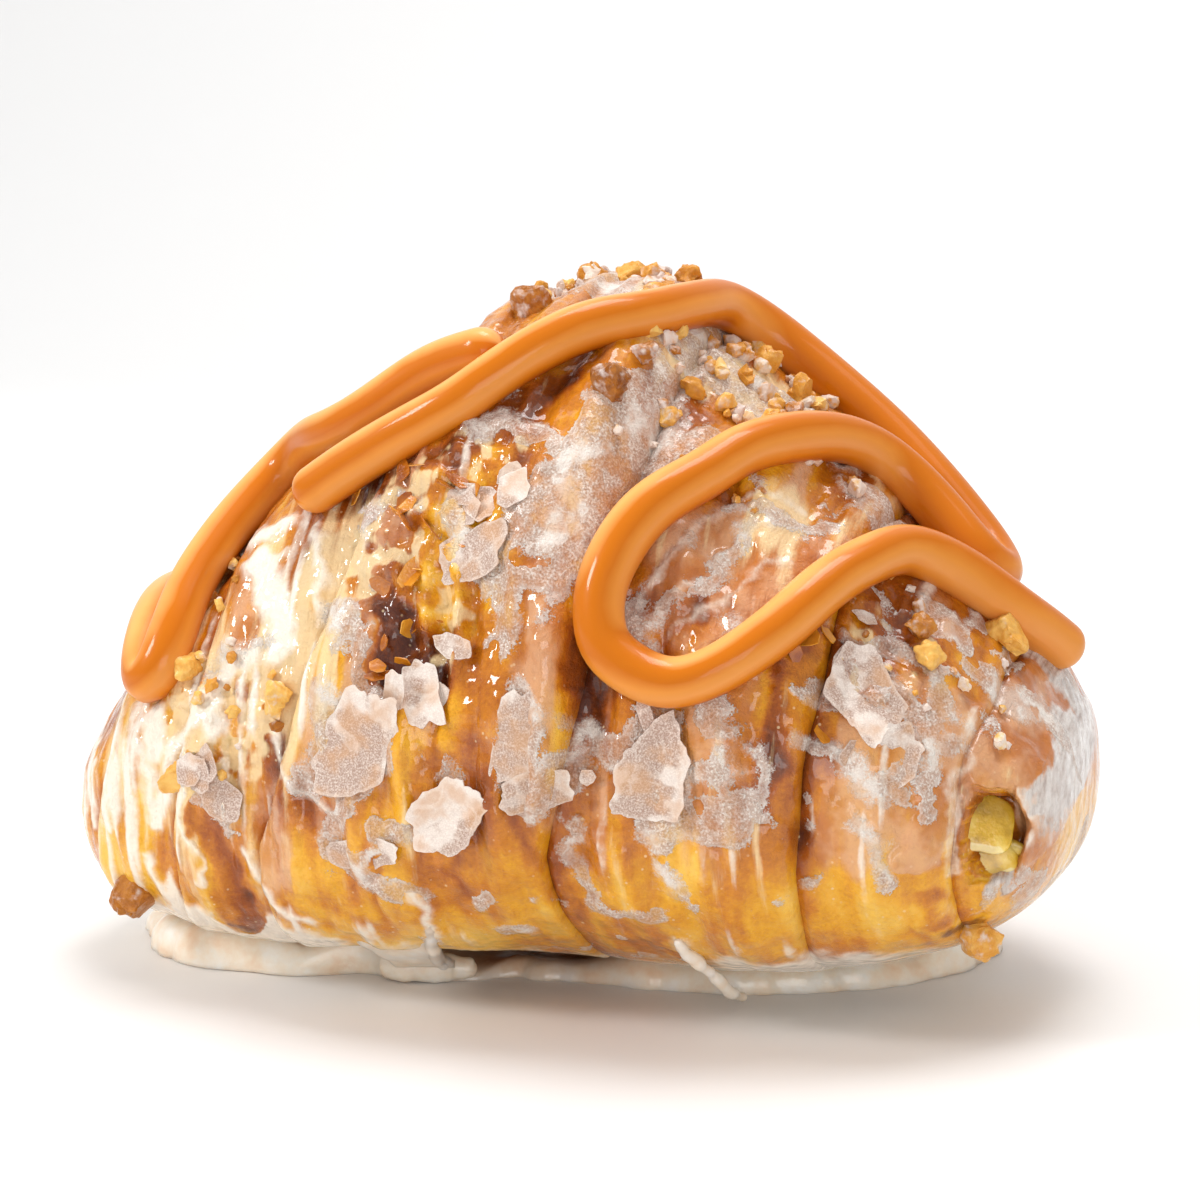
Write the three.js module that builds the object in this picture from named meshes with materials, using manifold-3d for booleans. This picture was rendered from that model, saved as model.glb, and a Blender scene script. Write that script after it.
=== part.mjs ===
// A pear and walnut croissant: a rolled crust with stepped bands, piped caramel, walnut crumbs and
// flakes of set glaze on it, pear filling that shows at its right end, and the glaze pool it stands in.
// Millimetres, +Z up. The roll lies along X, its shown side faces -Y, and the floor is at Z = 0.
// Places on the crust are given along X and around the roll: 0 degrees at the front, 90 at the crown.
import * as THREE from "three";
import { mergeVertices } from "three/addons/utils/BufferGeometryUtils.js";
import Module from "manifold-3d";

const wasm = await Module();
wasm.setup();

// Driving dimensions of the roll. A half's shares are of the crown's own height and depth.
const crownX = 4;
const crownHeight = 77.5;
const crownHalfDepth = 40;
const crownAxisShare = 0.36;
const crownSharpness = 0.02;
const crownUnderPower = 2;
const rollSeat = 2;
const crustFoot = 4.5;
const crescentBend = 5;
const endRoundness = 4.2;
const leftHalf = {
  tip: -62, tipHeight: 0.37, tipDepth: 0.6, tipAxis: 0.56, fall: 1.4,
  underEnd: 4.2, underPower: 3.3, underPace: 1.9,
};
const rightHalf = {
  tip: 61, tipHeight: 0.49, tipDepth: 0.62, tipAxis: 0.64, fall: 1.12,
  underEnd: 2.75, underPower: 2.9, underPace: 1,
};
// The hollow under the middle of the roll, clear of the pool.
const arch = { x: -11, halfLength: 15, rise: 2.4 };

// The wrapped bands: where each band's edge crosses the front and the crown, along X.
const bandEdges = [
  { front: -54, crown: -51 },
  { front: -40, crown: -35 },
  { front: -25, crown: -13 },
  { front: 10, crown: 16 },
  { front: 36, crown: 39 },
  { front: 52, crown: 54 },
];
const edgeUnderSweep = -0.3;
const middleBand = { index: 3, step: 3.6, leftRise: 0.16, rightRise: 0.14 };
const endBand = { step: 2.6, rise: 0.28, fallPower: 0.7 };
const evenRelief = 2;
const lumps = { height: 0.7, length: 11, sway: 2.5, ridges: 5, drift: 9 };

// The torn patch in the middle band's front.
const tear = { x: -4, around: 20, length: 9, height: 9, depth: 2.6, ragged: 0.35, teeth: 1.7, rounds: 9 };

// Piped caramel: each strand's stations, along X and around the roll.
const caramelRadius = 2.9;
const caramelLift = 2.1;
const caramelBedSpan = 5;
const caramelStep = 5;
const caramelSides = 8;
const caramelEndSteps = 4;
const caramelStrands = [
  [
    [-3, 59], [-7.5, 60], [-13, 61.5], [-18.5, 61], [-23, 62], [-27.5, 66], [-32.5, 75], [-37, 74], [-40, 62],
    [-41.5, 48], [-41.5, 36], [-42.5, 27], [-44.5, 27], [-46, 36], [-47.5, 50], [-49.5, 68], [-51, 88],
    [-49, 104], [-42, 109], [-34, 108], [-27, 111], [-20, 121], [-12, 134], [-3, 141], [5, 133], [8, 116],
  ],
  [
    [-26, 47], [-19, 48], [-12.5, 48.5], [-6.6, 50], [-2, 54.5], [2.6, 60], [6.5, 65], [10.5, 71], [13.3, 82],
    [14.3, 92], [18, 98], [23, 100], [28, 100], [33, 100], [38, 99], [43, 97.5], [47, 95], [49, 89],
    [46.5, 84.5], [41.5, 87], [36.5, 86], [33, 80.5], [30, 72.5], [27, 64.5], [24, 57], [21.5, 49], [17.6, 41],
    [15.3, 34], [14, 28], [14, 23.5], [15.2, 19.5], [19, 17.4], [22.8, 17.4], [26.6, 20.4], [30, 25.5],
    [33.3, 33], [36, 43], [39, 54], [41.6, 64], [45, 70], [48.2, 74.5], [52, 80], [55, 90], [57, 99.5],
  ],
];

// Walnut pieces that read singly: place, and half size.
const walnutPieces = [
  { x: -5.5, around: 82, size: 3.6 }, { x: -2, around: 94, size: 2.1 }, { x: 2.5, around: 96, size: 2 },
  { x: 6, around: 92, size: 1.9 }, { x: 10, around: 95, size: 1.7 }, { x: 13, around: 101, size: 2 },
  { x: 12.5, around: 64, size: 2 }, { x: 10.5, around: 55, size: 2 }, { x: 18.5, around: 84, size: 1.5 },
  { x: 21, around: 90, size: 1.6 }, { x: 25.5, around: 87, size: 1.8 }, { x: 16, around: 59, size: 1.8 },
  { x: 25.5, around: 70, size: 1.6 }, { x: 47.5, around: 43, size: 1.9 }, { x: 46, around: 50, size: 1.7 },
  { x: 53, around: 72, size: 2.1 }, { x: -41, around: 46, size: 2 }, { x: -40, around: 58, size: 1.6 },
  { x: -40, around: 26, size: 2.1 }, { x: -25.5, around: 13, size: 1.8 }, { x: -39.5, around: 1, size: 1.7 },
  { x: -50, around: -38, size: 2.6 },
];
// Smaller crumbs, scattered from the crown down the far side.
const scatter = {
  count: 16, fromX: -30, toX: 42, fromAround: 96, toAround: 168, crowding: 1.6, smallest: 1.3, largest: 2.1,
};
const crumb = { lift: 0.3, leastReach: 0.72, reachSpread: 0.5 };

// Flakes of set glaze that stand proud of the crust: place, half length, half width and turn.
const flake = { thickness: 1.1, sides: 7, underShare: 0.8, leastReach: 0.75, reachSpread: 0.5 };
const glazeFlakes = [
  { x: -2, around: -7, long: 6, wide: 4, turn: 70 },
  { x: -14, around: 4, long: 7, wide: 4.5, turn: 50 },
  { x: -6, around: 11, long: 4, wide: 2.6, turn: 120 },
  { x: 6, around: 7, long: 5, wide: 3.4, turn: 80 },
  { x: 8, around: -1, long: 4, wide: 3, turn: 20 },
  { x: 21, around: 3, long: 7, wide: 4.4, turn: 80 },
  { x: 42, around: 27, long: 6.5, wide: 4, turn: 100 },
  { x: 46, around: 15, long: 6, wide: 3, turn: 80 },
  { x: -1, around: 29, long: 5, wide: 2.8, turn: 30 },
  { x: -33, around: -6, long: 4.5, wide: 2.4, turn: 110 },
  { x: -13, around: -17, long: 5, wide: 3.6, turn: 10 },
  { x: 10, around: 150, long: 6.5, wide: 4, turn: 60 },
  { x: 24, around: 165, long: 6, wide: 3.8, turn: 120 },
  { x: -12, around: 176, long: 6.5, wide: 4, turn: 80 },
  { x: -30, around: 165, long: 5, wide: 3.4, turn: 40 },
  { x: 40, around: 150, long: 5.5, wide: 3.2, turn: 90 },
];

// Pear filling: a core along the roll that turns out to the mouth in the right end's front.
const pear = { halfWidth: 3.9, halfHeight: 7, gap: 0.4, recess: 3.4, mouthReach: 9, bluntness: 3 };
const pearLumps = { share: 0.14, ridges: 3, twist: 40, rings: 55 };
const pearRoute = [
  [-44, -4, 22], [-20, -1, 27], [10, -1, 29], [34, -4, 28], [46, -13, 26.5], [54.5, -27, 25.5],
];

// Glaze pool: its rounded edge, and its outline on the floor.
const poolThickness = 4.2;
const poolEdge = 1.2;
const poolEdgeSegments = 2;
const poolOutlineSteps = 84;
const poolOutline = [
  [-58, -6], [-54, -19], [-43, -24.5], [-31, -24.5], [-25, -21], [-19.5, -21.5], [-10.5, -19.5], [-6, -17],
  [5.5, -16.5], [17.5, -15.5], [28.5, -12], [38.5, -4.5], [46, 6], [48, 16], [42, 23], [28, 26], [8, 27],
  [-14, 26], [-36, 23], [-52, 12],
];

// Facets of the crust and the filling, and the shift that puts the origin under the middle of the whole.
const crustAlong = 64;
const crustAround = 38;
const pearAlong = 26;
const pearAround = 16;
const mergeDistance = 1e-3;
const centring = { x: 0.5, y: 0.15 };
const seed = 7;

const colours = { crust: 0xd9923f, pear: 0xd8c460, glaze: 0xf1e9e2 };
const roughness = { crust: 0.45, pear: 0.35, glaze: 0.4 };

const toRadians = THREE.MathUtils.degToRad;
const { smoothstep, lerp, clamp } = THREE.MathUtils;

// Even random numbers from 0 to 1, the same on each run.
function seededRandom(start) {
  const multiplier = 16807;
  const modulus = 2147483647;
  let state = start;
  return () => {
    state = (state * multiplier) % modulus;
    return (state - 1) / (modulus - 1);
  };
}

// Where a band's edge lies along X at an angle around the roll.
function edgeX(edge, around) {
  return lerp(edge.front, edge.crown, clamp(Math.sin(around), edgeUnderSweep, 1));
}

// Height of the stepped bands: each band stands highest at the edge that faces its own end of the roll.
function bandRelief(x, around) {
  const edges = [leftHalf.tip, ...bandEdges.map((edge) => edgeX(edge, around)), rightHalf.tip];
  const band = edges.findIndex((edge, k) => x >= edge && x <= edges[k + 1]);
  const share = (x - edges[band]) / (edges[band + 1] - edges[band]);
  if (band === middleBand.index) {
    const { step, leftRise, rightRise } = middleBand;
    return step * Math.min(smoothstep(share, 0, leftRise), smoothstep(1 - share, 0, rightRise));
  }
  const outward = band < middleBand.index ? share : 1 - share;
  return endBand.step * smoothstep(outward, 0, endBand.rise) * (1 - outward) ** endBand.fallPower;
}

// Low lumps of the baked layers, and the sunken tear.
function lumpRelief(x, around) {
  const along = (2 * Math.PI * x) / lumps.length + lumps.sway * Math.sin(2 * around);
  const wave = Math.sin(along) * Math.cos(lumps.ridges * around + x / lumps.drift);
  const acrossTear = (x - tear.x) / tear.length;
  const upTear = ((around - toRadians(tear.around)) * crownHalfDepth) / tear.height;
  const ragged = 1 + tear.ragged * Math.sin(tear.teeth * x + tear.rounds * around);
  return lumps.height * wave - tear.depth * ragged * Math.exp(-2 * (acrossTear ** 2 + upTear ** 2));
}

function crustRelief(x, around) {
  return bandRelief(x, around) + lumpRelief(x, around);
}

// Relief evened out along the roll: the bed that a strand of caramel lies on as it bridges the steps.
function bedRelief(x, around) {
  const spots = [x - caramelBedSpan, x, x + caramelBedSpan];
  const inside = spots.map((spot) => clamp(spot, leftHalf.tip, rightHalf.tip));
  return inside.reduce((sum, spot) => sum + crustRelief(spot, around), 0) / inside.length;
}

// A point of the crust, with its own relief or with one that is given.
function crustPoint(x, around, relief = crustRelief(x, around)) {
  const half = x < crownX ? leftHalf : rightHalf;
  const middle = (leftHalf.tip + rightHalf.tip) / 2;
  const t = clamp((x - middle) / (rightHalf.tip - middle), -1, 1);
  const fromCrown = (x - crownX) / (half.tip - crownX);
  const rounded = (distance) => Math.sqrt(distance ** 2 + crownSharpness) - Math.sqrt(crownSharpness);
  const slope = rounded(fromCrown) / rounded(1);
  const height = crownHeight * (1 - (1 - half.tipHeight) * slope ** half.fall);
  const halfDepth = crownHalfDepth * (1 - (1 - half.tipDepth) * fromCrown ** 2);
  const axis = height * lerp(crownAxisShare, half.tipAxis, fromCrown ** 2);
  const underEnd = t < 0 ? leftHalf.underEnd : rightHalf.underEnd;
  const closing = (1 - Math.abs(t) ** endRoundness) ** (1 / endRoundness);
  const underClosing = (1 - Math.abs(t) ** underEnd) ** (1 / underEnd);
  const across = Math.cos(around);
  const up = Math.sin(around);
  const underPower = lerp(crownUnderPower, half.underPower, Math.min(1, half.underPace * fromCrown));
  const power = up > 0 ? 2 : underPower;
  const radius = (Math.abs(across) ** power + Math.abs(up) ** power) ** (-1 / power);
  const reach = up > 0 ? (height - axis + relief) * closing : axis * underClosing;
  const y = -(halfDepth + relief) * closing * radius * across - crescentBend * t ** 2;
  const z = rollSeat + axis + reach * radius * up;
  const foot = crustFoot + arch.rise * Math.exp(-(((x - arch.x) / arch.halfLength) ** 4));
  return new THREE.Vector3(x, y, Math.max(z, foot));
}

// Outward direction of the crust's even form.
function crustNormal(x, around) {
  const alongStep = 0.4;
  const aroundStep = 0.02;
  const even = (atX, atAround) => crustPoint(atX, atAround, evenRelief);
  const along = even(x + alongStep, around).sub(even(x - alongStep, around));
  const round = even(x, around + aroundStep).sub(even(x, around - aroundStep));
  return along.cross(round).normalize();
}

function onlyPositions(geometry) {
  geometry.deleteAttribute("normal");
  geometry.deleteAttribute("uv");
  return mergeVertices(geometry, mergeDistance);
}

// A closed skin whose points are a function of the share along it and the angle round it.
function skin(alongCount, aroundCount, pointAt) {
  const geometry = new THREE.SphereGeometry(1, aroundCount, alongCount);
  const { position, uv } = geometry.attributes;
  const poleMargin = 1e-6;
  for (let i = 0; i < position.count; i++) {
    const share = 1 - uv.getY(i);
    const pole = Math.min(share, 1 - share) < poleMargin;
    const around = pole ? 0 : 2 * Math.PI * (uv.getX(i) % 1);
    position.setXYZ(i, ...pointAt(share, around).toArray());
  }
  return onlyPositions(geometry);
}

function toSolid(geometry) {
  return new wasm.Manifold(
    new wasm.Mesh({
      numProp: 3,
      vertProperties: new Float32Array(geometry.attributes.position.array),
      triVerts: new Uint32Array(geometry.index.array),
    }),
  );
}

function toGeometry(solid) {
  const { vertProperties, triVerts } = solid.getMesh();
  return new THREE.BufferGeometry()
    .setAttribute("position", new THREE.BufferAttribute(vertProperties, 3))
    .setIndex(new THREE.BufferAttribute(triVerts, 1));
}

// A strand of caramel along its stations, round at both ends.
function caramelRope(stations) {
  const points = stations.map(([x, degrees]) => {
    const around = toRadians(degrees);
    return crustPoint(x, around, bedRelief(x, around)).addScaledVector(crustNormal(x, around), caramelLift);
  });
  const curve = new THREE.CatmullRomCurve3(points);
  const length = curve.getLength();
  const steps = Math.round(length / caramelStep) + caramelEndSteps;
  const frames = curve.computeFrenetFrames(steps);
  return skin(steps, caramelSides, (share, around) => {
    const station = Math.round(share * steps);
    const fromEnd = Math.min(1, (Math.min(share, 1 - share) * length) / caramelRadius);
    const radius = caramelRadius * Math.sqrt(1 - (1 - fromEnd) ** 2);
    return curve
      .getPointAt(share)
      .addScaledVector(frames.normals[station], radius * Math.cos(around))
      .addScaledVector(frames.binormals[station], -radius * Math.sin(around));
  });
}

// An uneven nut crumb, sunk a little into the crust.
function walnutCrumb({ x, around, size }, random) {
  const geometry = onlyPositions(new THREE.IcosahedronGeometry(size));
  const { position } = geometry.attributes;
  for (let i = 0; i < position.count; i++) {
    const reach = crumb.leastReach + crumb.reachSpread * random();
    position.setXYZ(i, position.getX(i) * reach, position.getY(i) * reach, position.getZ(i) * reach);
  }
  const turn = new THREE.Euler(random() * Math.PI, random() * Math.PI, random() * Math.PI);
  const angle = toRadians(around);
  const place = crustPoint(x, angle).addScaledVector(crustNormal(x, angle), size * crumb.lift);
  return geometry.applyMatrix4(new THREE.Matrix4().makeRotationFromEuler(turn).setPosition(place));
}

// A thin chip of glaze with an uneven outline, flat on the crust.
function glazeFlake({ x, around, long, wide, turn }, random) {
  const chip = new THREE.CylinderGeometry(1, flake.underShare, flake.thickness, flake.sides);
  const geometry = onlyPositions(chip);
  const { position } = geometry.attributes;
  for (let i = 0; i < position.count; i++) {
    const reach = flake.leastReach + flake.reachSpread * random();
    position.setXYZ(i, position.getX(i) * long * reach, position.getY(i), position.getZ(i) * wide * reach);
  }
  const angle = toRadians(around);
  const flakeAxis = new THREE.Vector3(0, 1, 0);
  const upright = new THREE.Quaternion().setFromUnitVectors(flakeAxis, crustNormal(x, angle));
  const spin = new THREE.Quaternion().setFromAxisAngle(flakeAxis, toRadians(turn));
  const place = new THREE.Matrix4().makeRotationFromQuaternion(upright.multiply(spin));
  return geometry.applyMatrix4(place.setPosition(crustPoint(x, angle)));
}

// The filling's core, from its hidden end to the mouth.
// Grown by the gap and reaching out of the crust, it cuts the tunnel.
function pearCore(gap, reachOut, lumpShare) {
  const points = pearRoute.map((place) => new THREE.Vector3(...place));
  const last = points.at(-1);
  const outward = last.clone().sub(points.at(-2)).normalize();
  points.push(last.clone().addScaledVector(outward, reachOut));
  const curve = new THREE.CatmullRomCurve3(points);
  return skin(pearAlong, pearAround, (share, around) => {
    const heading = curve.getTangentAt(share);
    const side = new THREE.Vector3(heading.y, -heading.x, 0).normalize();
    const closing = (1 - Math.abs(2 * share - 1) ** (4 * pear.bluntness)) ** (1 / pear.bluntness);
    const { ridges, twist, rings } = pearLumps;
    const wave = Math.sin(ridges * around + twist * share) * Math.cos(rings * share);
    const lumpy = closing * (1 - (lumpShare * (1 + wave)) / 2);
    return curve
      .getPointAt(share)
      .addScaledVector(side, (pear.halfWidth + gap) * lumpy * Math.cos(around))
      .add(new THREE.Vector3(0, 0, (pear.halfHeight + gap) * lumpy * Math.sin(around)));
  });
}

function glazePool() {
  const corners = poolOutline.map(([x, y]) => new THREE.Vector3(x, y, 0));
  const outline = new THREE.CatmullRomCurve3(corners, true).getSpacedPoints(poolOutlineSteps).slice(0, -1);
  const shape = new THREE.Shape(outline.map((point) => new THREE.Vector2(point.x, point.y)));
  const pool = new THREE.ExtrudeGeometry(shape, {
    depth: poolThickness - 2 * poolEdge,
    bevelThickness: poolEdge,
    bevelSize: poolEdge,
    bevelOffset: -poolEdge,
    bevelSegments: poolEdgeSegments,
  });
  return onlyPositions(pool.translate(0, 0, poolEdge));
}

// The walnut pieces that read singly, and the scattered ones.
function allCrumbs(random) {
  const { count, fromX, toX, fromAround, toAround, crowding, smallest, largest } = scatter;
  const crumbs = [...walnutPieces];
  for (let i = 0; i < count; i++) {
    crumbs.push({
      x: lerp(fromX, toX, (i + random()) / count),
      around: lerp(fromAround, toAround, random() ** crowding),
      size: lerp(smallest, largest, random()),
    });
  }
  return crumbs;
}

// The crust with its tunnel, and everything set on it, as one piece.
function dressedCrust() {
  const random = seededRandom(seed);
  const length = rightHalf.tip - leftHalf.tip;
  const crust = skin(crustAlong, crustAround, (share, around) => {
    const x = leftHalf.tip + (length * (1 - Math.cos(Math.PI * share))) / 2;
    return crustPoint(x, around);
  });
  const toppings = [
    ...caramelStrands.map((stations) => caramelRope(stations)),
    ...allCrumbs(random).map((piece) => walnutCrumb(piece, random)),
    ...glazeFlakes.map((piece) => glazeFlake(piece, random)),
  ];
  const tunnelled = toSolid(crust).subtract(toSolid(pearCore(pear.gap, pear.mouthReach, 0)));
  return toGeometry(toppings.reduce((whole, topping) => whole.add(toSolid(topping)), tunnelled));
}

function node(name, geometry, color, surfaceRoughness) {
  const material = new THREE.MeshStandardMaterial({ color, roughness: surfaceRoughness, metalness: 0 });
  const mesh = new THREE.Mesh(geometry, material);
  mesh.name = name;
  return mesh;
}

const croissant = new THREE.Group();
croissant.add(node("croissant", dressedCrust(), colours.crust, roughness.crust));
croissant.add(node("pear_filling", pearCore(0, -pear.recess, pearLumps.share), colours.pear, roughness.pear));
croissant.add(node("glaze_pool", glazePool(), colours.glaze, roughness.glaze));
croissant.position.set(centring.x, centring.y, 0);

export default croissant;
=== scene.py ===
# Pear walnut croissant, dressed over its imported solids.
# Shapes are worked out in millimetres along the roll, and inFrame() turns them into the frame's metres.
# Places on the crust are x along the roll and degrees around it: 0 at the front, 90 at the crown.
import math

import bpy
import numpy as np
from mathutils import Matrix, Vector


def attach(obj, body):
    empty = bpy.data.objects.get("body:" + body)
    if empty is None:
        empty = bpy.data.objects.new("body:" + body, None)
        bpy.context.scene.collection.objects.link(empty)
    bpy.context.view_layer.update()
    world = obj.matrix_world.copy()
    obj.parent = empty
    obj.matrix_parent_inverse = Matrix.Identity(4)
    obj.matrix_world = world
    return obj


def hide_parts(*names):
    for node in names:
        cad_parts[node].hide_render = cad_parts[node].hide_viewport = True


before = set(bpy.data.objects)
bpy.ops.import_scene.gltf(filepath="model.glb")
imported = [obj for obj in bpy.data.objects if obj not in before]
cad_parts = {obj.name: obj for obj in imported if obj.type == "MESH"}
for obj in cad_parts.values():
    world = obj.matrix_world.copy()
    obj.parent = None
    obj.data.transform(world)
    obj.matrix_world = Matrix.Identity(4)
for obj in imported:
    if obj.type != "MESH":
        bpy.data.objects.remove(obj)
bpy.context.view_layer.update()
print("frame loaded")

dice = np.random.default_rng(7)
lattice = np.random.default_rng(23).uniform(-1, 1, (40, 40, 40))
centring = np.array([0.5, 0.15, 0.0])   # where the roll's own middle lies in the frame
mm = 0.001
weldGap = 0.000002   # metres
layerShift = 7.3   # from one layer of noise to the next


# The roll: its outline from tip to tip, the bands of dough and the lumps, as in the solids
roll = dict(
    crownX=4, height=77.5, halfDepth=40, axisShare=0.36, sharpness=0.02, underPower=2,
    seat=2, foot=4.5, bend=5, endRoundness=4.2,
    archX=-11, archHalfLength=15, archRise=2.4,
)
leftHalf = dict(
    tip=-62, tipHeight=0.37, tipDepth=0.6, tipAxis=0.56, fall=1.4,
    underEnd=4.2, underPower=3.3, underPace=1.9,
)
rightHalf = dict(
    tip=61, tipHeight=0.49, tipDepth=0.62, tipAxis=0.64, fall=1.12,
    underEnd=2.75, underPower=2.9, underPace=1.0,
)
bands = dict(   # each edge is its x at the front and at the crown
    edges=((-54, -51), (-40, -35), (-25, -13), (10, 16), (36, 39), (52, 54)),
    underSweep=-0.3, middle=3, middleStep=3.6, middleLip=4.0, endStep=2.6, endLip=2.4, fallPower=0.7,
    around=600, rowLength=0.36, widthSteps=73, endRows=60, capRows=4, tuck=1.8, dive=0.9,
    diveOver=(-0.6, 1.2), wobble=0.35, wander=((1, 3, 2.1), (0.6, 7, 4.3)),
    crowding=0.4, crowdAt=math.radians(35), tipCrowding=1.5,
)
lumps = dict(height=0.7, length=11, sway=2.5, ridges=5, drift=9)
tear = dict(x=-4, around=20, length=9, height=9, depth=2.6, ragged=0.35, teeth=1.7, rounds=9)
mouth = dict(
    x=55.3, around=-7.5, halfLength=3.3, halfHeight=10.5, squareness=2.8, depth=7.5, layers=4, ragged=0.14,
    hollowEdge=(0.45, 1.05), stepEdge=(0.5, 1.0), curtainRun=2, lipX=52.0, lipLength=1.5, lipHeight=15,
    lipEdge=(0.6, 1.0), lipWaver=0.5, sheetGap=0.55, sheetStep=0.22,
)
dent = dict(x=57.6, around=38, length=2.2, height=5, depth=1.7)   # a hollow above the mouth


def inFrame(points):
    return (np.asarray(points, float) + centring) * mm


def eased(value, low, high):
    share = np.clip((value - low) / (high - low), 0, 1)
    return share * share * (3 - 2 * share)


def turned(angle):
    return (angle + math.pi) % (2 * math.pi) - math.pi


def unitised(vectors):
    return vectors / np.maximum(np.linalg.norm(vectors, axis=-1, keepdims=True), 1e-9)


def swell(points, size, shift=0.0):   # soft random waves of one size, -1 to 1
    cell = np.asarray(points, float) / size + shift
    low = np.floor(cell).astype(int)
    part = cell - low
    part = part * part * (3 - 2 * part)
    here, there = low % len(lattice), (low + 1) % len(lattice)

    def alongZ(i, j):
        first, second = lattice[i, j, here[..., 2]], lattice[i, j, there[..., 2]]
        return first + (second - first) * part[..., 2]

    def alongY(i):
        first, second = alongZ(i, here[..., 1]), alongZ(i, there[..., 1])
        return first + (second - first) * part[..., 1]

    first, second = alongY(here[..., 0]), alongY(there[..., 0])
    return first + (second - first) * part[..., 0]


def rough(points, size, shift=0.0, layers=3):   # waves with finer ones on them
    return sum(swell(points, size / 2 ** n, shift + layerShift * n) / 2 ** n for n in range(layers))


def rollPoint(x, around, relief):
    x, around, relief = np.broadcast_arrays(*(np.asarray(v, float) for v in (x, around, relief)))
    isLeft = x < roll["crownX"]

    def half(key):
        return np.where(isLeft, leftHalf[key], rightHalf[key])

    middle = (leftHalf["tip"] + rightHalf["tip"]) / 2
    along = np.clip((x - middle) / (rightHalf["tip"] - middle), -1, 1)
    fromCrown = (x - roll["crownX"]) / (half("tip") - roll["crownX"])
    soft = math.sqrt(roll["sharpness"])
    slope = (np.sqrt(fromCrown ** 2 + soft ** 2) - soft) / (math.sqrt(1 + soft ** 2) - soft)
    height = roll["height"] * (1 - (1 - half("tipHeight")) * slope ** half("fall"))
    depth = roll["halfDepth"] * (1 - (1 - half("tipDepth")) * fromCrown ** 2)
    axis = height * (roll["axisShare"] + (half("tipAxis") - roll["axisShare"]) * fromCrown ** 2)
    underEnd = np.where(along < 0, leftHalf["underEnd"], rightHalf["underEnd"])
    closing = np.maximum(1 - np.abs(along) ** roll["endRoundness"], 0) ** (1 / roll["endRoundness"])
    underClosing = np.maximum(1 - np.abs(along) ** underEnd, 0) ** (1 / underEnd)
    squareness = np.minimum(1, half("underPace") * fromCrown)
    underPower = roll["underPower"] + (half("underPower") - roll["underPower"]) * squareness
    cos, sin = np.cos(around), np.sin(around)
    power = np.where(sin > 0, 2, underPower)
    radius = (np.abs(cos) ** power + np.abs(sin) ** power) ** (-1 / power)
    reach = np.where(sin > 0, (height - axis + relief) * closing, axis * underClosing)
    y = -(depth + relief) * closing * radius * cos - roll["bend"] * along ** 2
    z = roll["seat"] + axis + reach * radius * sin
    arch = np.exp(-((x - roll["archX"]) / roll["archHalfLength"]) ** 4)
    return np.stack([x, y, np.maximum(z, roll["foot"] + roll["archRise"] * arch)], -1)


def fromAxis(points):   # distance from the line that degrees around the roll are counted about
    return np.hypot(points[..., 1], points[..., 2] - roll["height"] * roll["axisShare"])


def edgeX(number, around):
    if number < 0:
        return np.full_like(around, leftHalf["tip"])
    if number >= len(bands["edges"]):
        return np.full_like(around, rightHalf["tip"])
    front, crown = bands["edges"][number]
    rise = np.clip(np.sin(around), bands["underSweep"], 1)
    wander = sum(size * np.sin(turns * around + shift * number) for size, turns, shift in bands["wander"])
    return front + (crown - front) * rise + bands["wobble"] * wander


def bandRelief(number, x, around):   # height of a band's lip and back above the plain roll
    low, high = edgeX(number - 1, around), edgeX(number, around)
    toLow, toHigh = x - low, high - x

    def lip(distance, width):
        share = np.clip(distance / width, 0, 1)
        return np.sqrt(1 - (1 - share) ** 2)

    if number == bands["middle"]:
        width = bands["middleLip"]
        return bands["middleStep"] * np.minimum(lip(toLow, width), lip(toHigh, width))
    outward = toLow if number < bands["middle"] else toHigh
    share = np.clip(outward / (high - low), 0, 1)
    return bands["endStep"] * lip(outward, bands["endLip"]) * (1 - share) ** bands["fallPower"]


def bedRelief(x, around):   # relief of whichever band is on top there
    x, around = np.broadcast_arrays(np.asarray(x, float), np.asarray(around, float))
    total = np.zeros(x.shape)
    for number in range(len(bands["edges"]) + 1):
        inside = (x >= edgeX(number - 1, around)) & (x <= edgeX(number, around))
        total = np.where(inside, bandRelief(number, x, around), total)
    return total


def lumpRelief(x, around):
    wave = np.sin(2 * math.pi * x / lumps["length"] + lumps["sway"] * np.sin(2 * around))
    wave = wave * np.cos(lumps["ridges"] * around + x / lumps["drift"])
    across = (x - tear["x"]) / tear["length"]
    up = turned(around - math.radians(tear["around"])) * roll["halfDepth"] / tear["height"]
    ragged = 1 + tear["ragged"] * np.sin(tear["teeth"] * x + tear["rounds"] * around)
    return lumps["height"] * wave - tear["depth"] * ragged * np.exp(-2 * (across ** 2 + up ** 2))


def evenBed(x, around, reach):   # the bed that something stiff lies on
    return sum(bedRelief(x + go, around) + lumpRelief(x + go, around) for go in (-reach, 0, reach)) / 3


def crustFrame(x, around, relief=None):   # a spot on the crust, the way out of it and the way along it
    x, around = np.asarray(x, float), np.asarray(around, float)
    if relief is None:
        relief = bedRelief(x, around) + lumpRelief(x, around)
    spot = rollPoint(x, around, relief)
    step, turn, evenRelief = 0.8, 0.025, 2.0
    acrossX = rollPoint(x + step, around, evenRelief) - rollPoint(x - step, around, evenRelief)
    acrossUp = rollPoint(x, around + turn, evenRelief) - rollPoint(x, around - turn, evenRelief)
    return spot, unitised(np.cross(acrossX, acrossUp)), unitised(acrossX)


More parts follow.
